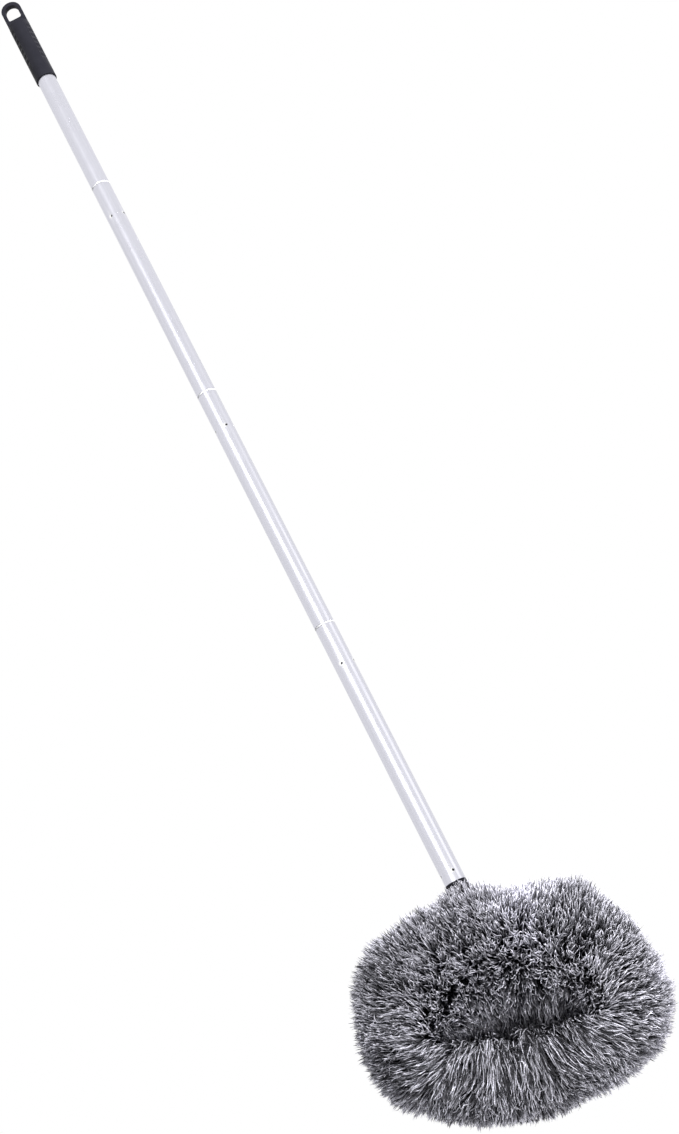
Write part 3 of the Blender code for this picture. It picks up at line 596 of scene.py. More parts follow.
def threaded(profile, start_z, low, high, clearance=0.0, stake=None):
    """The radii of a turned piece whose rows at the thread's root carry a ridge between two heights.

    The share of a pitch is height over pitch less angle over a full turn, and near one half of it the
    ridge stands up. It runs out at either end, where a sleeve opens to its crest instead. Under each
    stake of its tube the piece has a pocket.
    """
    heights, angles = profile[:, 1:], round_angles(COLUMNS)
    share = np.mod((heights - start_z) / THREAD_PITCH - angles / math.tau, 1.0)
    flank = CREST_SHARE + FLANK_SHARE + clearance / THREAD_PITCH / 2 - np.abs(share - 0.5)
    full = between(heights, low, high, RUN_OUT, RUN_OUT)
    climb = np.clip(flank / FLANK_SHARE, 0, 1) * full + (0.999 * (1 - full) if clearance else 0)
    at_root = np.isclose(profile[:, :1], THREAD_ROOT + clearance)
    radii = profile[:, :1] + (THREAD_CREST - THREAD_ROOT) * climb * at_root
    if stake:
        pocket = dent(heights, angles, INSERT_RADIUS, stake, STAKE_RADIUS * 1.9)
        radii -= POCKET_DEPTH * pocket * (radii > PLUG_WAIST)
    return radii


def stud(shoulder_z, seat, end_z):
    """Rows of a stud, from the chamfer on its shoulder over its thread to its cored end."""
    foot = corner(THREAD_ROOT, shoulder_z, EDGE, 180, 1)[::-1]
    thread = thread_rows(THREAD_ROOT, seat, seat + THREAD_LENGTH)
    return [foot, thread, [(THREAD_ROOT - 0.0007, end_z)], corner(PLUG_BORE, end_z, EDGE, 90, 1)]


# %% Plugs, sleeves and the neck
PLUG_SEAT, NECK_SEAT = 0.0024, 0.0041
PLUG_LAND, PLUG_RELIEF = (0.0492, 0.0385), (0.0375, 0.010)
SLEEVE_LAND = (0.0075, 0.0135)
FLANGE_RADIUS, FLANGE_HEIGHT = 0.0095, 0.0035
NECK_RADIUS, SHOULDER_RADIUS = 0.0070, 0.0107
CORE, CORE_DEPTH = 0.0004, 0.040


def plug(number):
    """The staked plug with its stud, cored right through, with two lands and a relieved waist."""
    name = f"thread_plug_{number}"
    low, high = (end.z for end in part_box(name))
    joint_z = joints[number]
    seat = joint_z + PLUG_SEAT
    rows = [corner(PLUG_BORE, low, 0.0004, 180, 1), corner(INSERT_RADIUS, low, 0.0006, -90)]
    rows += [wall(INSERT_RADIUS, joint_z - np.linspace(*PLUG_LAND, 44))]
    rows += [wall(PLUG_WAIST, joint_z - np.array(PLUG_RELIEF)), [(INSERT_RADIUS, joint_z - 0.009)]]
    rows += [corner(INSERT_RADIUS, joint_z, 0.0004, 0), *stud(joint_z, seat, high)]
    profile = np.concatenate(rows)
    stake = (joint_z - STAKE_DROP, 0.0)
    radii = threaded(profile, joint_z, seat, seat + THREAD_LENGTH, stake=stake)
    piece = skin(name + "_moulded", around(radii, profile[:, 1], SECTION_TURNS[number]))
    place(piece, "grey_plastic", section(number), name)


def sleeve(number):
    """The sleeve in a tube's lower end, threaded inside. Only the last one is staked."""
    name = f"thread_insert_{number}"
    low, high = (end.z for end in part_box(name))
    rows = [corner(INSERT_RADIUS, low, EDGE, -90)]
    rows += [wall(INSERT_RADIUS, low + np.linspace(*SLEEVE_LAND, 25))]
    rows += [corner(INSERT_RADIUS, high, EDGE, 0)]
    profile = np.concatenate([*rows, thread_rows(THREAD_ROOT + THREAD_CLEARANCE, high, low)])
    start_z = joints.get(number + 1, foot_z)
    stake = staked[4][1] if number == 4 else None
    radii = threaded(profile, start_z, low, high, THREAD_CLEARANCE, stake)
    piece = skin(name + "_moulded", around(radii, profile[:, 1], SECTION_TURNS.get(number + 1, 0.0)))
    place(piece, "white_plastic" if number == 1 else "grey_plastic", section(number), name)


def neck():
    """The head's stud, shoulder and neck, down to the flange that the hub holds."""
    low, high = (end.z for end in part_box("neck"))
    seat, flange_top, core_foot = foot_z + NECK_SEAT, low + FLANGE_HEIGHT, foot_z - CORE_DEPTH
    rows = [[(CORE, low)], corner(FLANGE_RADIUS, low, EDGE, -90, 1)]
    rows += [corner(FLANGE_RADIUS, flange_top, EDGE, 0, 1)]
    rows += [corner(NECK_RADIUS, flange_top, 0.0006, 180)[::-1]]
    rows += [[(NECK_RADIUS, foot_z - 0.016), (NECK_RADIUS + 0.0002, foot_z - 0.0148)]]
    rows += [[(SHOULDER_RADIUS - 0.0002, foot_z - 0.0054), (SHOULDER_RADIUS, foot_z - 0.0048)]]
    rows += [corner(SHOULDER_RADIUS, foot_z, 0.0004, 0), *stud(foot_z, seat, high)]
    rows += [corner(PLUG_BORE, core_foot, 0.0005, -90, 1)[::-1], [(CORE, core_foot)]]
    profile = np.concatenate(rows)
    radii = threaded(profile, foot_z, seat, seat + THREAD_LENGTH)
    piece = skin("neck_moulded", around(radii, profile[:, 1]), closed=False)
    place(piece, "black_plastic", "head", "neck")


for number in (2, 3, 4):
    plug(number)
for number in (1, 2, 3, 4):
    sleeve(number)
neck()
print("threads of", THREAD_PITCH * 1000, "mm pitch on three plugs, four sleeves and the neck")

# %% [markdown]
# ## Grip
#
# The grip is one black moulding. Its round body grips the tube, and its flat tongue hangs on a hook.
# The front and back are smooth panels, edged by two thin raised lines, and the sides have shallow
# scallops for the fingers. The body is a turned profile whose radius dips with a cosine wave on the
# sides. The tongue is a ring: a rounded rectangle that travels once round the hang hole.

# %% Grip body
mouth_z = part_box("grip")[0].z
ledge_z = -0.030
GRIP_COLUMNS = 160
GRIP_BORE, SOCKET_DEPTH = TUBE_RADIUS + GAP, 0.0853
RIB_PITCH, RIB_DEPTH = 0.008, 0.0008
RIB_FOOT, RIB_TOP = 0.025, 0.081
SIDE_FROM, SIDE_TO = 0.0080, 0.0124
LINE_HEIGHT, LINE_PLACE, LINE_WIDTH = 0.0003, 0.0078, 0.00035
LINE_FOOT, LINE_TOP = 0.012, ledge_z - 0.003 - mouth_z


def grip_body():
    """A turned profile with scallops: r = R - depth * side(a) * (1 - cos(2 pi z / pitch)) / 2."""
    heights = np.linspace(mouth_z + 0.0012, ledge_z - 0.0012, 226)
    lower = [[(GRIP_BORE, mouth_z + SOCKET_DEPTH)], corner(GRIP_BORE, mouth_z, 0.0004, 180)]
    lower = np.concatenate([*lower, corner(GRIP_RADIUS, mouth_z, 0.0006, 270)])
    shoulder = corner(GRIP_RADIUS, ledge_z, 0.0008, 0)
    profile = np.concatenate([lower, wall(GRIP_RADIUS, heights), shoulder])
    radii = np.repeat(profile[:, :1], GRIP_COLUMNS, axis=1)
    up = heights[:, None] - mouth_z
    off_panel = np.abs(GRIP_RADIUS * np.cos(round_angles(GRIP_COLUMNS)))
    side = between(off_panel, SIDE_FROM, SIDE_TO, 0.0008, 0.0010)
    wave = (1 - np.cos(math.tau * (up - RIB_FOOT) / RIB_PITCH)) / 2
    scallops = RIB_DEPTH * side * wave**0.7 * between(up, RIB_FOOT, RIB_TOP, 0.002, 0.002)
    line = LINE_HEIGHT * bell(off_panel - LINE_PLACE, LINE_WIDTH)
    lines = line * between(up, LINE_FOOT, LINE_TOP, 0.004, 0.004)
    radii[len(lower) : -len(shoulder)] += lines - scallops
    return skin("grip_body_moulded", around(radii, profile[:, 1]), closed=False)


# %% Grip tongue
HOLE_Z, HOLE_HALF_WIDTH, HOLE_HALF_HEIGHT = -0.01025, 0.008, 0.01025
HOLE_STRAIGHT, HOLE_CORNER = 0.00225, 0.0022
DOME_Z = -0.0066
TONGUE_HALF, TONGUE_EDGE, TONGUE_ROOT = 0.0035, 0.0008, 0.003


def far_side(radius, middle_x, middle_z, dx, dz):
    """Where rays from the origin leave a circle: s + sqrt(s^2 - |m|^2 + r^2), with s = m . d."""
    along = middle_x * dx + middle_z * dz
    return along + np.sqrt(np.maximum(along**2 - middle_x**2 - middle_z**2 + radius**2, 0))


def hole_reach(dx, dz):
    """The hang hole along rays from its middle.

    It is a half circle on two straight sides, with a flat foot and two rounded corners.
    """
    wide, tall = np.abs(dx), np.abs(dz)
    to_side = HOLE_HALF_WIDTH / wide
    to_dome = far_side(HOLE_HALF_WIDTH, 0.0, HOLE_STRAIGHT, wide, tall)
    to_foot = np.minimum(to_side, HOLE_HALF_HEIGHT / tall)
    aim_x, aim_z = HOLE_HALF_WIDTH - HOLE_CORNER, HOLE_HALF_HEIGHT - HOLE_CORNER
    in_corner = (to_foot * wide > aim_x) & (to_foot * tall > aim_z)
    below = np.where(in_corner, far_side(HOLE_CORNER, aim_x, aim_z, wide, tall), to_foot)
    return np.where(dz > 0, np.where(to_side * dz <= HOLE_STRAIGHT, to_side, to_dome), below)


def tongue_reach(dx, dz, y):
    """The tongue's outline along the same rays, at a depth y.

    It is a half circle on two straight sides, and its width follows the body: x = sqrt(R^2 - y^2).
    """
    reach = math.sqrt(GRIP_RADIUS**2 - y**2)
    rise = DOME_Z - HOLE_Z
    side = reach / np.abs(dx)
    foot = np.where(dz < 0, (HOLE_Z - ledge_z + TONGUE_ROOT) / np.abs(dz), 1.0)
    return np.where(side * dz > rise, far_side(reach, 0.0, rise, dx, dz), np.minimum(side, foot))


def tongue():
    """A rounded rectangle led round the hang hole, from the hole's outline to the tongue's outline."""
    angles = round_angles(128)
    dx, dz = np.sin(angles), np.cos(angles)
    flat, edge = TONGUE_HALF - TONGUE_EDGE, TONGUE_EDGE
    bend = np.radians(np.linspace(90, 0, 5))
    with np.errstate(divide="ignore"):
        hole, outer = hole_reach(dx, dz), tongue_reach(dx, dz, TONGUE_HALF)
        path = [(hole + edge * (1 - np.sin(b)), flat + edge * np.cos(b)) for b in bend]
        path += [(hole + edge + (outer - hole - 2 * edge) * s, TONGUE_HALF) for s in (0.35, 0.7)]
        for b in bend:
            y = flat + edge * np.sin(b)
            path.append((tongue_reach(dx, dz, y) - edge * (1 - np.cos(b)), y))
    rows = [(reach, -y) for reach, y in path] + path[::-1]
    points = [np.stack([reach * dx, np.full(len(dx), y), HOLE_Z + reach * dz], -1) for reach, y in rows]
    return skin("grip_tongue_moulded", np.stack(points))


for piece in (grip_body(), tongue()):
    place(piece, "black_plastic", "handle", "grip")

# %% [markdown]
# ## Inside the head
#
# A flexible strip bent to an oval carries the cover. Its ends are clamped in a hub of two screwed
# shells, together with the root of the neck. The pile hides all this, so the CAD pieces serve as they
# are and only get their finishes.

# %% Finishes of the hub, its screws and the strip
INNER = {"hub_front": "grey_plastic", "hub_back": "grey_plastic", "loop_frame": "loop_strip"}
INNER |= {f"hub_screw_{number}": "screw_steel" for number in (1, 2, 3, 4)}
for name, finish in INNER.items():
    paint(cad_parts[name], finish)
print("inner pieces:", list(INNER))

# %% [markdown]
# ## Cover
#
# The cover is a knitted sleeve that is pulled over the loop and drawn tight round the neck by an
# elastic. The sleeve's section is a flat oval round the strip, wider where it goes over the hub. It
# is a tube bent along the loop's line: out along the outer face and back along the inner one.

# %% The loop's line and the sleeve
HUB_SIDE, HUB_EASE = 0.03125, 0.014
HUB_HALF_DEPTH, HUB_HALF_HEIGHT = 0.017, 0.013
STRIP_HALF_DEPTH, STRIP_HALF_HEIGHT = 0.009, 0.00125


def swayed(along, up):
    """The flexible loop hangs a little to +X, more so the further it is below the hub."""
    return along - LOOP_SWAY * up, up


def loop_line(angle):
    """The strip's line, an ellipse: (A sin t, B (cos t - 1)), swayed."""
    return swayed(LOOP_HALF_WIDTH * np.sin(angle), LOOP_HALF_HEIGHT * (np.cos(angle) - 1))


def cover_line(angle):
    """The middle of the sleeve, its outward direction, and how far it has come off the hub, 0 to 1."""
    along, up = loop_line(angle)
    past = np.abs(LOOP_HALF_WIDTH * np.sin(angle)) - HUB_SIDE
    share = np.where(np.cos(angle) < 0, 1.0, np.clip(past / HUB_EASE, 0, 1))
    out_x = LOOP_HALF_HEIGHT * np.sin(angle)
    out_z = LOOP_HALF_WIDTH * np.cos(angle) + LOOP_SWAY * out_x
    out = unit(np.stack([out_x, out_z], -1)) * share[..., None]
    out[..., 1] += 1 - share
    return along, up * share, unit(out), share


def sleeve_point(angle, turn, thickness):
    """A point on the sleeve, a given thickness out from the strip or hub inside it."""
    along, up, out, share = cover_line(angle)
    wide = HUB_HALF_DEPTH + (STRIP_HALF_DEPTH - HUB_HALF_DEPTH) * share + GAP + thickness
    thick = HUB_HALF_HEIGHT + (STRIP_HALF_HEIGHT - HUB_HALF_HEIGHT) * share + GAP + thickness
    off = thick * np.cos(turn)
    return np.stack([along + off * out[..., 0], wide * np.sin(turn), up + off * out[..., 1]], -1)


def to_part(points):
    """From the loop's leaning frame about the hub to the part's frame."""
    along, across, up = np.moveaxis(points, -1, 0)
    c, s = math.cos(LOOP_LEAN), math.sin(LOOP_LEAN)
    return np.stack([hub.x + along * c + up * s, hub.y + across, hub.z - along * s + up * c], -1)


# %% Sleeves over the loop
COVER_OUTSIDE, COVER_INSIDE = 0.0015, 0.0001
hub_angle = math.asin(HUB_SIDE / LOOP_HALF_WIDTH)
ends = [hub_angle, math.radians(60), math.radians(122), math.pi]
spans = {"pile_top": (-hub_angle, hub_angle)}
for label, first, last in zip(("pile_upper_right", "pile_right_end", "pile_lower_right"), ends, ends[1:]):
    spans[label] = (first, last)
    spans[label.replace("right", "left")] = (math.tau - last, math.tau - first)

for name, (first, last) in spans.items():
    stations = np.linspace(first + 0.003, last - 0.003, 25)
    outer = sleeve_point(stations[:, None], round_angles(40), COVER_OUTSIDE)
    inner = sleeve_point(stations[::-1, None], round_angles(40), COVER_INSIDE)
    piece = skin(name.replace("pile", "sleeve"), to_part(np.concatenate([outer, inner])))
    place(piece, "grey_pile", "head", name, finish="elastic")
print("slices of the cover:", list(spans))

# %% Neck elastic
CORD_RADIUS, GATHER = 0.0010, 0.0002
low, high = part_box("neck_elastic")
turns = round_angles(14)[:, None]
gather = CORD_RADIUS + GATHER * np.cos(30 * round_angles(240))
radii = high.x - CORD_RADIUS - GATHER + gather * np.cos(turns)
heights = (low.z + high.z) / 2 + gather * np.sin(turns)
place(skin("neck_elastic_gathered", around(radii, heights)), "elastic", "head", "neck_elastic")

# %% [markdown]
# ## Pile
#
# The pile is the duster's face: soft strands, about a millimetre thick, that stand all over the
# sleeve and end in one smooth oval, with a slot through the middle for a fan blade. The outside of
# the pile is one formula. From a point of the strip's line it reaches to an ellipse outside the loop,
# to the slot's middle inside it, and to a set depth in front and behind. Round the outside the
# section is part of an ellipse. On the slot's side it is squarer, so the two halves meet in a narrow
# groove.
#
# Every strand then follows from where its tip lies on that surface. Tips are spread evenly by area.
# Roots sit on the sleeve, turned back towards the slot by the combing angle, which is small at the
# top and large below the slot, where gravity and use have laid the strands down over the lower bulge.

# %% The outside of the pile
PILE_SIDE, PILE_BELOW, PILE_SHIFT = 0.0544, 0.0569, 0.0144
SLOT_HALF, SLOT_DROP, SLOT_SLOPE = 0.062, 0.015, 0.12
OVERLAP = 0.006
LOBES = [
    (15, 14, -0.008),
    (42, 12, 0.007),
    (80, 22, -0.007),
    (128, 14, 0.006),
    (163, 12, -0.005),
    (240, 14, 0.008),
    (278, 16, -0.004),
    (313, 13, 0.007),
    (345, 10, -0.005),
]


def lobes(angle):
    """How far use has pushed the outside in or out, as a sum of bumps (degrees, width, height)."""
    total = np.zeros(np.shape(angle))
    for middle, width, size in LOBES:
        off = np.mod(np.degrees(angle) - middle + 180, 360) - 180
        total = total + size * bell(off, width)
    return total


def pile_edge(angle, turn):
    """The outside of the pile, for an angle along the loop and a turn about the strip, nought outward.

    The section is |x / width|^p + |y / depth|^q = 1, with p = q = 2 outwards. Slotwards it is squarer.
    The slot's middle wanders a little up and down, so its two lips aren't drawn with a ruler. The lips
    overlap inside and stand open in front and behind.
    """
    along, up = loop_line(angle)
    outward = np.cos(turn) > 0
    moved = lobes(angle)
    edge_along = np.where(outward, LOOP_HALF_WIDTH + PILE_SIDE + moved, SLOT_HALF) * np.sin(angle)
    outer_up = PILE_SHIFT - LOOP_HALF_HEIGHT + (LOOP_HALF_HEIGHT + PILE_BELOW + moved) * np.cos(angle)
    wander = 0.004 * np.sin(170 * edge_along) + 0.0025 * np.sin(410 * edge_along)
    parted = 1.2 * bell(edge_along - 0.002, 0.026)
    closing = OVERLAP * (1 - parted * np.abs(np.sin(turn))) * np.cos(angle)
    slot_up = wander - closing - LOOP_HALF_HEIGHT - SLOT_DROP - SLOT_SLOPE * SLOT_HALF * np.sin(angle)
    edge_along, edge_up = swayed(edge_along, np.where(outward, outer_up, slot_up))
    round_off = 0.74 + 0.1 * np.cos(angle)
    share = np.abs(np.cos(turn)) ** np.where(outward, 1.0, round_off)
    depth = (0.054 + 0.008 * np.cos(angle)) * np.sign(np.sin(turn))
    across = depth * np.abs(np.sin(turn)) ** np.where(outward, 1.0, round_off / 2)
    return np.stack([along + (edge_along - along) * share, across, up + (edge_up - up) * share], -1)


# %% Tips, even by area
EVEN_U, EVEN_V = 0.754877666, 0.569840291


def spread(count, first, last):
    """Places for tips, even by area, between two angles along the loop.

    The area of a fine grid is summed along the loop and then round the strip. A sequence that fills
    the unit square evenly, whose steps are the powers of one number, is read through both sums.
    Returns the area too.
    """
    angle, turn = np.linspace(first, last, 61), np.linspace(0, math.tau, 181)
    grid = pile_edge(angle[:, None], turn)
    sides = np.cross(np.diff(grid, axis=0)[:, :-1], np.diff(grid, axis=1)[:-1])
    area = np.linalg.norm(sides, axis=-1)
    rows = np.concatenate([[0], np.cumsum(area.sum(1))])
    index = np.arange(count)
    u, v = np.mod(0.5 + index * EVEN_U, 1), np.mod(0.5 + index * EVEN_V, 1)
    at_row = np.interp(u, rows / rows[-1], np.arange(61))
    row = np.minimum(at_row.astype(int), 59)
    shares = np.concatenate([np.zeros((60, 1)), np.cumsum(area, axis=1)], axis=1)
    shares = shares / shares[:, -1:] + np.arange(60)[:, None]
    at_turn = np.interp(row + v, shares.ravel(), np.tile(turn, 60))
    return np.interp(at_row, np.arange(61), angle), at_turn, rows[-1]


# %% [markdown]
# Strands of real pile cling together in locks. Each lock is a point on the outside of the pile with
# a pull, a bend and a tint of its own, and a strand belongs to the lock nearest to its tip. Between
# the locks the pile opens to its dark depth, and that is what makes fur look like fur.

# %% Locks
LOCK_PITCH = 0.0065
chance = np.random.default_rng(5)
area = spread(1, 0.0, math.tau)[2]
angle, turn, _ = spread(int(area / LOCK_PITCH**2), 0.0, math.tau)
lock_middle = to_part(pile_edge(angle, turn))
lock_middle += chance.normal(size=lock_middle.shape) * LOCK_PITCH * 0.3
lock_pull = chance.uniform(0.05, 0.35, len(angle))
lock_bend = chance.normal(size=lock_middle.shape)
lock_tint = chance.random(len(angle))
print("locks:", len(angle), "over", round(area, 3), "square metres")


def nearest_lock(points):
    """The number of the lock whose middle is nearest: the least of m.m - 2 p.m over all middles m."""
    squares = (lock_middle**2).sum(1)
    slices = np.array_split(points, len(points) // 1000 + 1)
    return np.concatenate([(squares - 2 * part @ lock_middle.T).argmin(1) for part in slices])


# %% [markdown]
# On a larger scale the pile parts in creases. A smooth random field crosses nought along winding
# lines, and those lines make natural creases: tips near one sink and lean away from it. The field is
# random values on a lattice, blended smoothly between. The photograph also shows where this duster
# has parted, beside and under the slot, and those creases are drawn as lines on the front.


# %% Creases of chance
def field(points, size, seed):
    """A smooth random vector at each point, from -1 to 1, that changes over about one size."""
    lattice = np.random.default_rng(seed).uniform(-1, 1, (32, 32, 32, 3))
    scaled = points / size + 1000.0
    cell = np.floor(scaled).astype(int)
    part = smooth(scaled - cell)
    total = np.zeros(points.shape)
    for end in np.ndindex(2, 2, 2):
        share = np.prod(np.where(end, part, 1 - part), axis=-1, keepdims=True)
        x, y, z = np.moveaxis(np.mod(cell + end, 32), -1, 0)
        total += share * lattice[x, y, z]
    return total


def wild_creases(tips):
    """How near each tip is to a crease of the field, 0 to 1, and the push away from it.

    The distance to the crease is the field's value over its slope.
    """
    value = field(tips, 0.028, 15)[:, 0]
    steps = 0.001 * np.eye(3)
    slope = np.stack([(field(tips + step, 0.028, 15)[:, 0] - value) / 0.001 for step in steps], -1)
    steep = np.linalg.norm(slope, axis=1) + 8.0
    near = bell(value / steep, 0.0022) * np.clip(2.5 * field(tips, 0.045, 16)[:, 0] + 0.3, 0, 1)
    return near, (near * np.sign(value) / steep)[:, None] * slope


# %% Creases of the photograph
CREASES = [
    (-0.0258, -1.2750, -0.0095, -1.2700, 0.0050),
    (-0.0704, -1.2616, -0.0682, -1.2718, 0.0040),
    (-0.0811, -1.2786, -0.0699, -1.2751, 0.0040),
    (0.0982, -1.2704, 0.0912, -1.3007, 0.0045),
    (0.0455, -1.2391, 0.0324, -1.2779, 0.0070),
    (0.0617, -1.3264, 0.0703, -1.3277, 0.0040),
    (0.0344, -1.3387, 0.0458, -1.3425, 0.0045),
    (-0.0873, -1.3177, -0.0770, -1.3158, 0.0045),
    (-0.0783, -1.3548, -0.0766, -1.3595, 0.0035),
    (-0.0652, -1.3633, -0.0550, -1.3615, 0.0040),
    (0.0224, -1.3783, 0.0230, -1.3943, 0.0040),
    (-0.0329, -1.2846, -0.0432, -1.3087, 0.0035),
    (-0.0009, -1.2835, -0.0093, -1.3056, 0.0035),
]


def drawn_creases(tips):
    """The same for the lines on the front, each as x and z of its ends and a width, in metres."""
    sink = np.zeros(len(tips))
    push = np.zeros((len(tips), 3))
    flat = tips[:, (0, 2)]
    for x1, z1, x2, z2, width in CREASES:
        start, end = np.array([x1, z1]), np.array([x2, z2])
        share = np.clip(((flat - start) @ (end - start)) / ((end - start) @ (end - start)), 0, 1)
        away = flat - start - share[:, None] * (end - start)
        distance = np.linalg.norm(away, axis=1)
        near = bell(distance, width) * (tips[:, 1] < 0)
        sink = np.maximum(sink, near)
        push[:, (0, 2)] += near[:, None] * away / (distance + 0.001)[:, None]
    return sink, push


# %% [markdown]
# The pile isn't one even grey. Some places are paler and some are darker. Each is a soft round
# patch of the tint, seen from the front.

# %% Pale and dark places
PLACES = np.array(
    [
        (0.046, -1.223, 0.024, 0.50),
        (0.036, -1.272, 0.026, 0.30),
        (-0.095, -1.238, 0.032, -0.14),
        (0.046, -1.370, 0.020, -0.20),
        (0.050, -1.412, 0.026, 0.20),
        (-0.115, -1.345, 0.030, 0.10),
        (0.138, -1.350, 0.018, 0.24),
        (0.117, -1.388, 0.020, 0.28),
        (-0.121, -1.222, 0.022, -0.16),
        (0.018, -1.350, 0.020, -0.18),
        (0.000, -1.235, 0.018, -0.14),
    ]
)


def paler(tips):
    """What is added to the tint at each tip, from places given as x, z, width and strength.

    It fades out behind the middle of the head, because the places were seen from the front.
    """
    distance = np.hypot(tips[:, None, 0] - PLACES[:, 0], tips[:, None, 2] - PLACES[:, 1])
    front = np.clip(1 - tips[:, 1] / 0.035, 0, 1)
    return front * (PLACES[:, 3] * bell(distance, PLACES[:, 2])).sum(1)


# %% [markdown]
# The section of a strand is a triangle, which at a millimetre across reads as round, and it tapers
# to its tip. Its path is a blend: the turn about the strip moves from the root's to the tip's while
# the reach grows from the sleeve to the pile's edge. Where the reach grows early the strand lies
# along the surface, as below the slot. The pull of its lock, an end that leans over and a slow wave
# are added on top. One strand in twelve belongs to no lock and wanders across the others.

# %% How strands lie
DENSITY = 0.195e6
THICKNESS = 0.0005
STEPS = np.linspace(0, 1, 8) ** 0.8
LARGEST = 4800
COMBED_TOP, COMBED_BELOW = 0.12, 1.15
LOOSE_SHARE = 1 / 12
WILD_SHARE = 0.7
SUNK, FLUFFED = 0.17, 0.13
WAVE = 0.0008
LEANING_END = 0.0065


def comb(angle, turn):
    """The turn about the strip at a tip's root: back towards the slot, the most in front and behind.

    Also returns the tip's own turn, from -pi to pi, and how much the strand is laid down, 0 to 1.
    """
    aside = np.mod(turn + math.pi, math.tau) - math.pi
    most = COMBED_TOP + COMBED_BELOW * ((1 - np.cos(angle)) / 2) ** 1.2
    from_edge = np.clip(np.abs(aside) / math.radians(60) - 0.25, 0, 1)
    from_slot = np.clip((math.pi - np.abs(aside)) / math.radians(75), 0, 1)
    laid = most * smooth(from_edge) * smooth(from_slot)
    root = np.sign(aside) * np.minimum(np.abs(aside) + laid, math.radians(172))
    return root, aside, laid / (COMBED_TOP + COMBED_BELOW)


def fanned(angle, laid):
    """Where along the loop a laid strand is rooted.

    Below the slot the strands spread in fans from a few points: t - (a / k) sin k(t - t0), with a near
    one, crowds the roots together at each point where k(t - t0) is a whole number of turns.
    """
    return angle - 0.9 * np.clip(1.5 * laid, 0, 1) * np.sin(11 * (angle - 2.98)) / 11


def square_to(vectors, axis):
    """The part of each vector that is square to its axis: v - (v . a) a."""
    return vectors - (vectors * axis).sum(1, keepdims=True) * axis


def waves(laid, loose, random):
    """Two slow waves along each strand that grow from its root: f sin(kt + a) u + f cos(0.7 kt + b) v."""
    count = len(laid)
    phase = math.tau * random.random((count, 2))
    sway = random.normal(size=(2, count, 1, 3))
    turns = random.uniform(1.0, 1.9, count)[:, None] * math.tau * STEPS
    strength = (WAVE * (0.7 + 1.3 * laid) * (1 + 1.2 * loose))[:, None, None] * np.sqrt(STEPS)[:, None]
    first = np.sin(turns + phase[:, :1])[..., None] * sway[0]
    second = np.cos(turns * 0.7 + phase[:, 1:])[..., None] * sway[1]
    return strength * (first + second)


def tints(tips, lock, laid, loose, in_slot, random):
    """How pale each strand is, from its lock and itself. Some are dark at random, and strands in the slot
    are darkened by painted shade.
    """
    count = len(tips)
    pale = 0.7 + 0.3 * random.random(count)
    tint = np.where(loose, pale, 0.15 * lock_tint[lock] + 0.85 * random.random(count))
    alike = 0.4 + 0.5 * field(tips, 0.03, 19)[:, 0]
    tint += alike * (0.5 - tint)
    tint *= np.where(random.random(count) < 0.34 - 0.3 * alike + 0.3 * laid, 0.04, 1 + 0.4 * laid)
    # Strands in the slot are darkened: painted shade in the groove, strongest near the head's middle.
    in_slot = in_slot * (0.25 + 0.75 * bell(tips[:, 0] + 0.003, 0.035))
    tint *= 1 - 0.97 * in_slot * np.where(loose, 0.3, random.random(count) ** 0.35)
    return np.maximum(tint + paler(tips), 0.02)


def clear_of_pole(paths, random):
    """Keeps strands out of the neck, the shoulder and the tube by moving them straight off the axis."""
    high = paths[..., 2] - foot_z
    clear = np.interp(high, [-0.016, -0.005], [0.0085, 0.0118]) * (high > -0.055)
    clear = clear + 0.0012 * random.random((len(paths), 1)) * (clear > 0)
    distance = np.hypot(paths[..., 0], paths[..., 1])
    scale = np.maximum(clear / np.maximum(distance, 1e-5), 1)
    paths[..., :2] *= scale[..., None]
    return paths


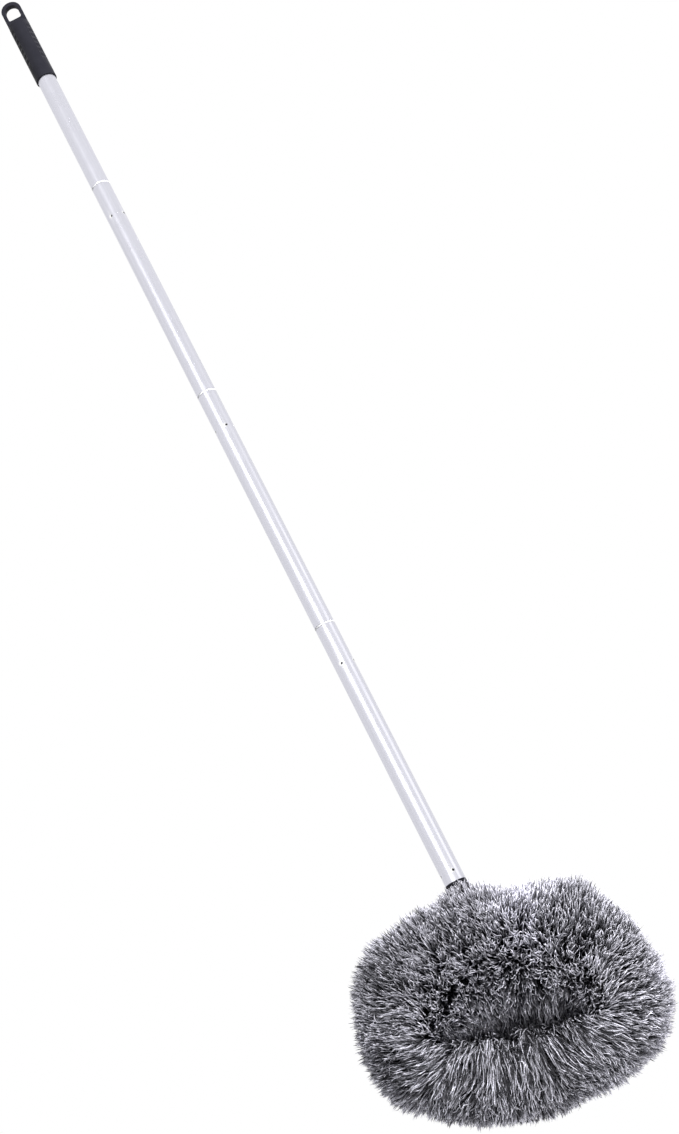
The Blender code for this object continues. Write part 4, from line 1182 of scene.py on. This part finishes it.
# %% Paths of the strands
def strand_paths(angle, turn, seed):
    """The middle lines of the strands, as strand by step by xyz, with their tints and thicknesses."""
    random = np.random.default_rng(seed)
    count = len(angle)
    root_turn, tip_turn, laid = comb(angle, turn)
    tips = to_part(pile_edge(angle, tip_turn))
    lock = nearest_lock(tips + 0.0012 * random.normal(size=tips.shape))
    loose = random.random(count) < LOOSE_SHARE
    wild, wild_push = wild_creases(tips)
    sink, push = drawn_creases(tips)
    sink = np.maximum(sink, WILD_SHARE * wild)
    in_slot = bell(math.pi - np.abs(tip_turn), np.radians(28 + 34 * laid))
    shorter = SUNK * sink + (0.1 + 0.15 * in_slot) * random.random(count) ** 2
    reach = 0.985 + 0.03 * field(tips, 0.03, 11)[:, 0] - shorter
    reach += FLUFFED * bell(np.hypot(tips[:, 0], tips[:, 1]), 0.024) * (tips[:, 2] > hub.z)

    start = fanned(angle, laid)
    angles = start[:, None] + (angle - start)[:, None] * STEPS
    turns = root_turn[:, None] + (tip_turn - root_turn)[:, None] * STEPS**0.9
    grown = 1 - (1 - STEPS) ** (1.35 + 1.5 * laid[:, None])
    root = sleeve_point(angles, turns, 0.0006)
    edge = pile_edge(angles, turns)
    paths = to_part(root + (edge - root) * (grown * reach[:, None])[..., None])
    outward = unit(paths[:, -1] - paths[:, 0])

    lean = square_to(field(tips, 0.022, 17), outward)
    pull = np.where(loose, 0.0, lock_pull[lock] * (1 + 0.3 * laid))
    gather = pull[:, None] * (lock_middle[lock] - tips) + (0.003 + 0.009 * in_slot[:, None]) * lean
    gather += 0.0015 * lock_bend[lock] + 0.006 * (push + WILD_SHARE * wild_push)
    paths += gather[:, None] * STEPS[:, None] ** 1.6
    side = 1.1 * lean + 0.4 * lock_bend[lock] + (1.2 - 0.5 * laid[:, None]) * random.normal(size=(count, 3))
    from_edge = 0.4 + 0.6 * np.sqrt(np.abs(np.sin(tip_turn / 2)))
    side = unit(square_to(side, outward)) * (LEANING_END * (1 - 0.6 * laid) * from_edge)[:, None]
    paths += side[:, None] * STEPS[:, None] ** 2.2
    paths += waves(laid, loose, random)
    tint = tints(tips, lock, laid, loose, in_slot, random)
    return clear_of_pole(paths, random), tint, THICKNESS * (1 + 0.1 * laid)


# %% Meshes of the strands
TAPER = ([0, 0.5, 0.85, 1], [0.75, 1.0, 0.9, 0.4])
SIDES = 3


def strand_mesh(name, paths, tint, thickness, seed):
    """Three-sided tapered tubes round the paths, closed at both ends, each with its own patch of map."""
    random = np.random.default_rng(seed)
    count, steps = paths.shape[:2]
    ahead = unit(np.gradient(paths, axis=1))
    chord = paths[:, -1:] - paths[:, :1]
    side = unit(np.cross(ahead, np.cross(chord, random.normal(size=(count, 1, 3)))))
    rise = np.cross(ahead, side)
    size = thickness[:, None] * np.interp(STEPS[:-1], *TAPER) * random.uniform(0.6, 1.3, (count, 1))
    turns = round_angles(SIDES)[:, None]
    offsets = np.cos(turns) * side[:, :-1, None] + np.sin(turns) * rise[:, :-1, None]
    rings = paths[:, :-1, None] + size[..., None, None] * offsets
    points = np.concatenate([rings.reshape(count, -1, 3), paths[:, -1:]], axis=1)
    each = points.shape[1]
    quads, maps = grid_faces(steps - 1, SIDES, closed=False)
    last = SIDES * (steps - 2)
    tip = np.array([[last + i, last + (i + 1) % SIDES, each - 1] for i in range(SIDES)])
    tip_maps = np.array([[(i, 0), (i + 1, 0), (i + 0.5, SIDES)] for i in range(SIDES)]) / SIDES
    tall = (steps - 2) / steps * 0.85
    patches = [
        (quads, maps * (0.9, tall) + (0.05, 0.1)),
        (tip, tip_maps * (0.9, 0.85 - tall) + (0.05, 0.1 + tall)),
        (np.arange(SIDES)[None, ::-1], np.array([[(0.1, 0.07), (0.9, 0.07), (0.5, 0.02)]])),
    ]
    grid = math.ceil(math.sqrt(count))
    cell = np.stack([np.arange(count) % grid, np.arange(count) // grid], -1)[:, None, None]
    first = each * np.arange(count)[:, None, None]
    face_sets = [(faces + first).reshape(-1, faces.shape[1]) for faces, _ in patches]
    map_sets = [((places + cell) / grid).reshape(-1, places.shape[1], 2) for _, places in patches]
    obj = make_mesh(name, points.reshape(-1, 3), face_sets, map_sets)
    carry(obj, "along", np.tile(np.append(np.repeat(STEPS[:-1], SIDES), 1.0), count))
    carry(obj, "tint", np.repeat(tint, each))
    return obj


# %% All strands
total = 0
for number, (name, (first, last)) in enumerate(spans.items()):
    parts = math.ceil(int(spread(1, first, last)[2] * DENSITY) / LARGEST)
    cuts = np.linspace(first, last, parts + 1)
    for part in range(parts):
        share = spread(1, cuts[part], cuts[part + 1])[2]
        angle, turn, _ = spread(int(share * DENSITY), cuts[part], cuts[part + 1])
        seed = 100 * number + part
        piece = strand_mesh(f"{name}_strands_{part + 1}", *strand_paths(angle, turn, seed), seed)
        place(piece, "grey_pile", "head", name)
        total += len(angle)
print("strands:", total)

# %% [markdown]
# ## Camera, light and floor
#
# The camera stands in front of the head and a little below it, and looks up along the pole, so the
# pole crosses the picture from the lower right to the upper left. A wide white room gives the even
# light of a shop photograph. The floor lies well under the duster and catches a soft shadow.

# %% Camera
scene = bpy.context.scene
camera_data = bpy.data.cameras.new("camera")
camera_data.sensor_width = 36.0
camera_data.lens = 57.238
camera = put("camera", camera_data)
standpoint = Vector((0.0416, -1.7621, -1.4964))
right = Vector((0.88717, 0.16213, -0.43202))
upward = Vector((0.46144, -0.31171, 0.83061))
backward = Vector((0.0, -0.93624, -0.35135))
turned = Matrix((right, upward, backward)).transposed().to_4x4()
camera.matrix_world = Matrix.Translation(standpoint) @ turned
scene.camera = camera

# %% World
world = bpy.data.worlds.new("white room")
scene.world = world
world.use_nodes = True
tree = world.node_tree
room = tree.nodes["Background"]
feed(tree, room.inputs, Color=(0.96, 0.97, 1.0, 1.0), Strength=0.15)
white = add(tree, "ShaderNodeBackground", Color=(1.0, 1.0, 1.0, 1.0), Strength=1.0)
rays = add(tree, "ShaderNodeLightPath").outputs
seen = maths(tree, "MAXIMUM", rays["Is Camera Ray"], rays["Is Glossy Ray"])
seen = maths(tree, "MAXIMUM", seen, rays["Is Transmission Ray"])
both = add(tree, "ShaderNodeMixShader", i0=seen, i1=room.outputs[0], i2=white.outputs[0])
feed(tree, tree.nodes["World Output"].inputs, Surface=both.outputs[0])


# %% Lamps
def lamp(name, position, target, size, power, unseen):
    """A soft rectangular lamp that faces a point. One kind of ray doesn't see it."""
    data = bpy.data.lights.new(name, "AREA")
    data.shape = "RECTANGLE"
    data.size, data.size_y = size
    data.energy = power
    obj = put(name, data)
    obj.location = position
    direction = Vector(target) - Vector(position)
    obj.rotation_euler = direction.to_track_quat("-Z", "Y").to_euler()
    setattr(obj, unseen, False)
    obj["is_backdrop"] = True


lamp("key", (1.0, -1.7, 0.9), (0, 0, -1.0), (0.5, 0.5), 140.0, "visible_glossy")
lamp("back", (1.2, 2.0, 0.9), (0, 0, -1.0), (1.0, 1.0), 75.0, "visible_glossy")
lamp("strip", (-0.17, -2.1, -0.6), (0, 0, -0.6), (0.8, 2.4), 16.0, "visible_diffuse")
lamp("side strip", (1.9, -0.6, -0.8), (0, 0, -0.8), (0.9, 2.0), 3.6, "visible_diffuse")

# %% Floor
FLOOR_RADIUS, FLOOR_Z = 2.4, -1.85
floor_mesh = bpy.data.meshes.new("floor")
rim = around([FLOOR_RADIUS], [0.0])[0]
floor_mesh.from_pydata(rim.tolist(), [], [tuple(range(len(rim)))])
floor = put("floor", floor_mesh)
floor.location.z = FLOOR_Z
new_material("floor_paint", (0.9, 0.9, 0.9), 0.8, specular=0.1)
paint(floor, "floor_paint")
floor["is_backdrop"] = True

scene.view_settings.view_transform = "Standard"
print("camera, world, four lamps and a floor are in place")

# %% [markdown]
# ## Size at the end
#
# The finer pieces must keep the CAD model's size, so the box of the visible pieces is printed before
# the script ends.

low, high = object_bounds()
print("visual box in mm:", [round(1000 * v) for v in (*low, *high)])
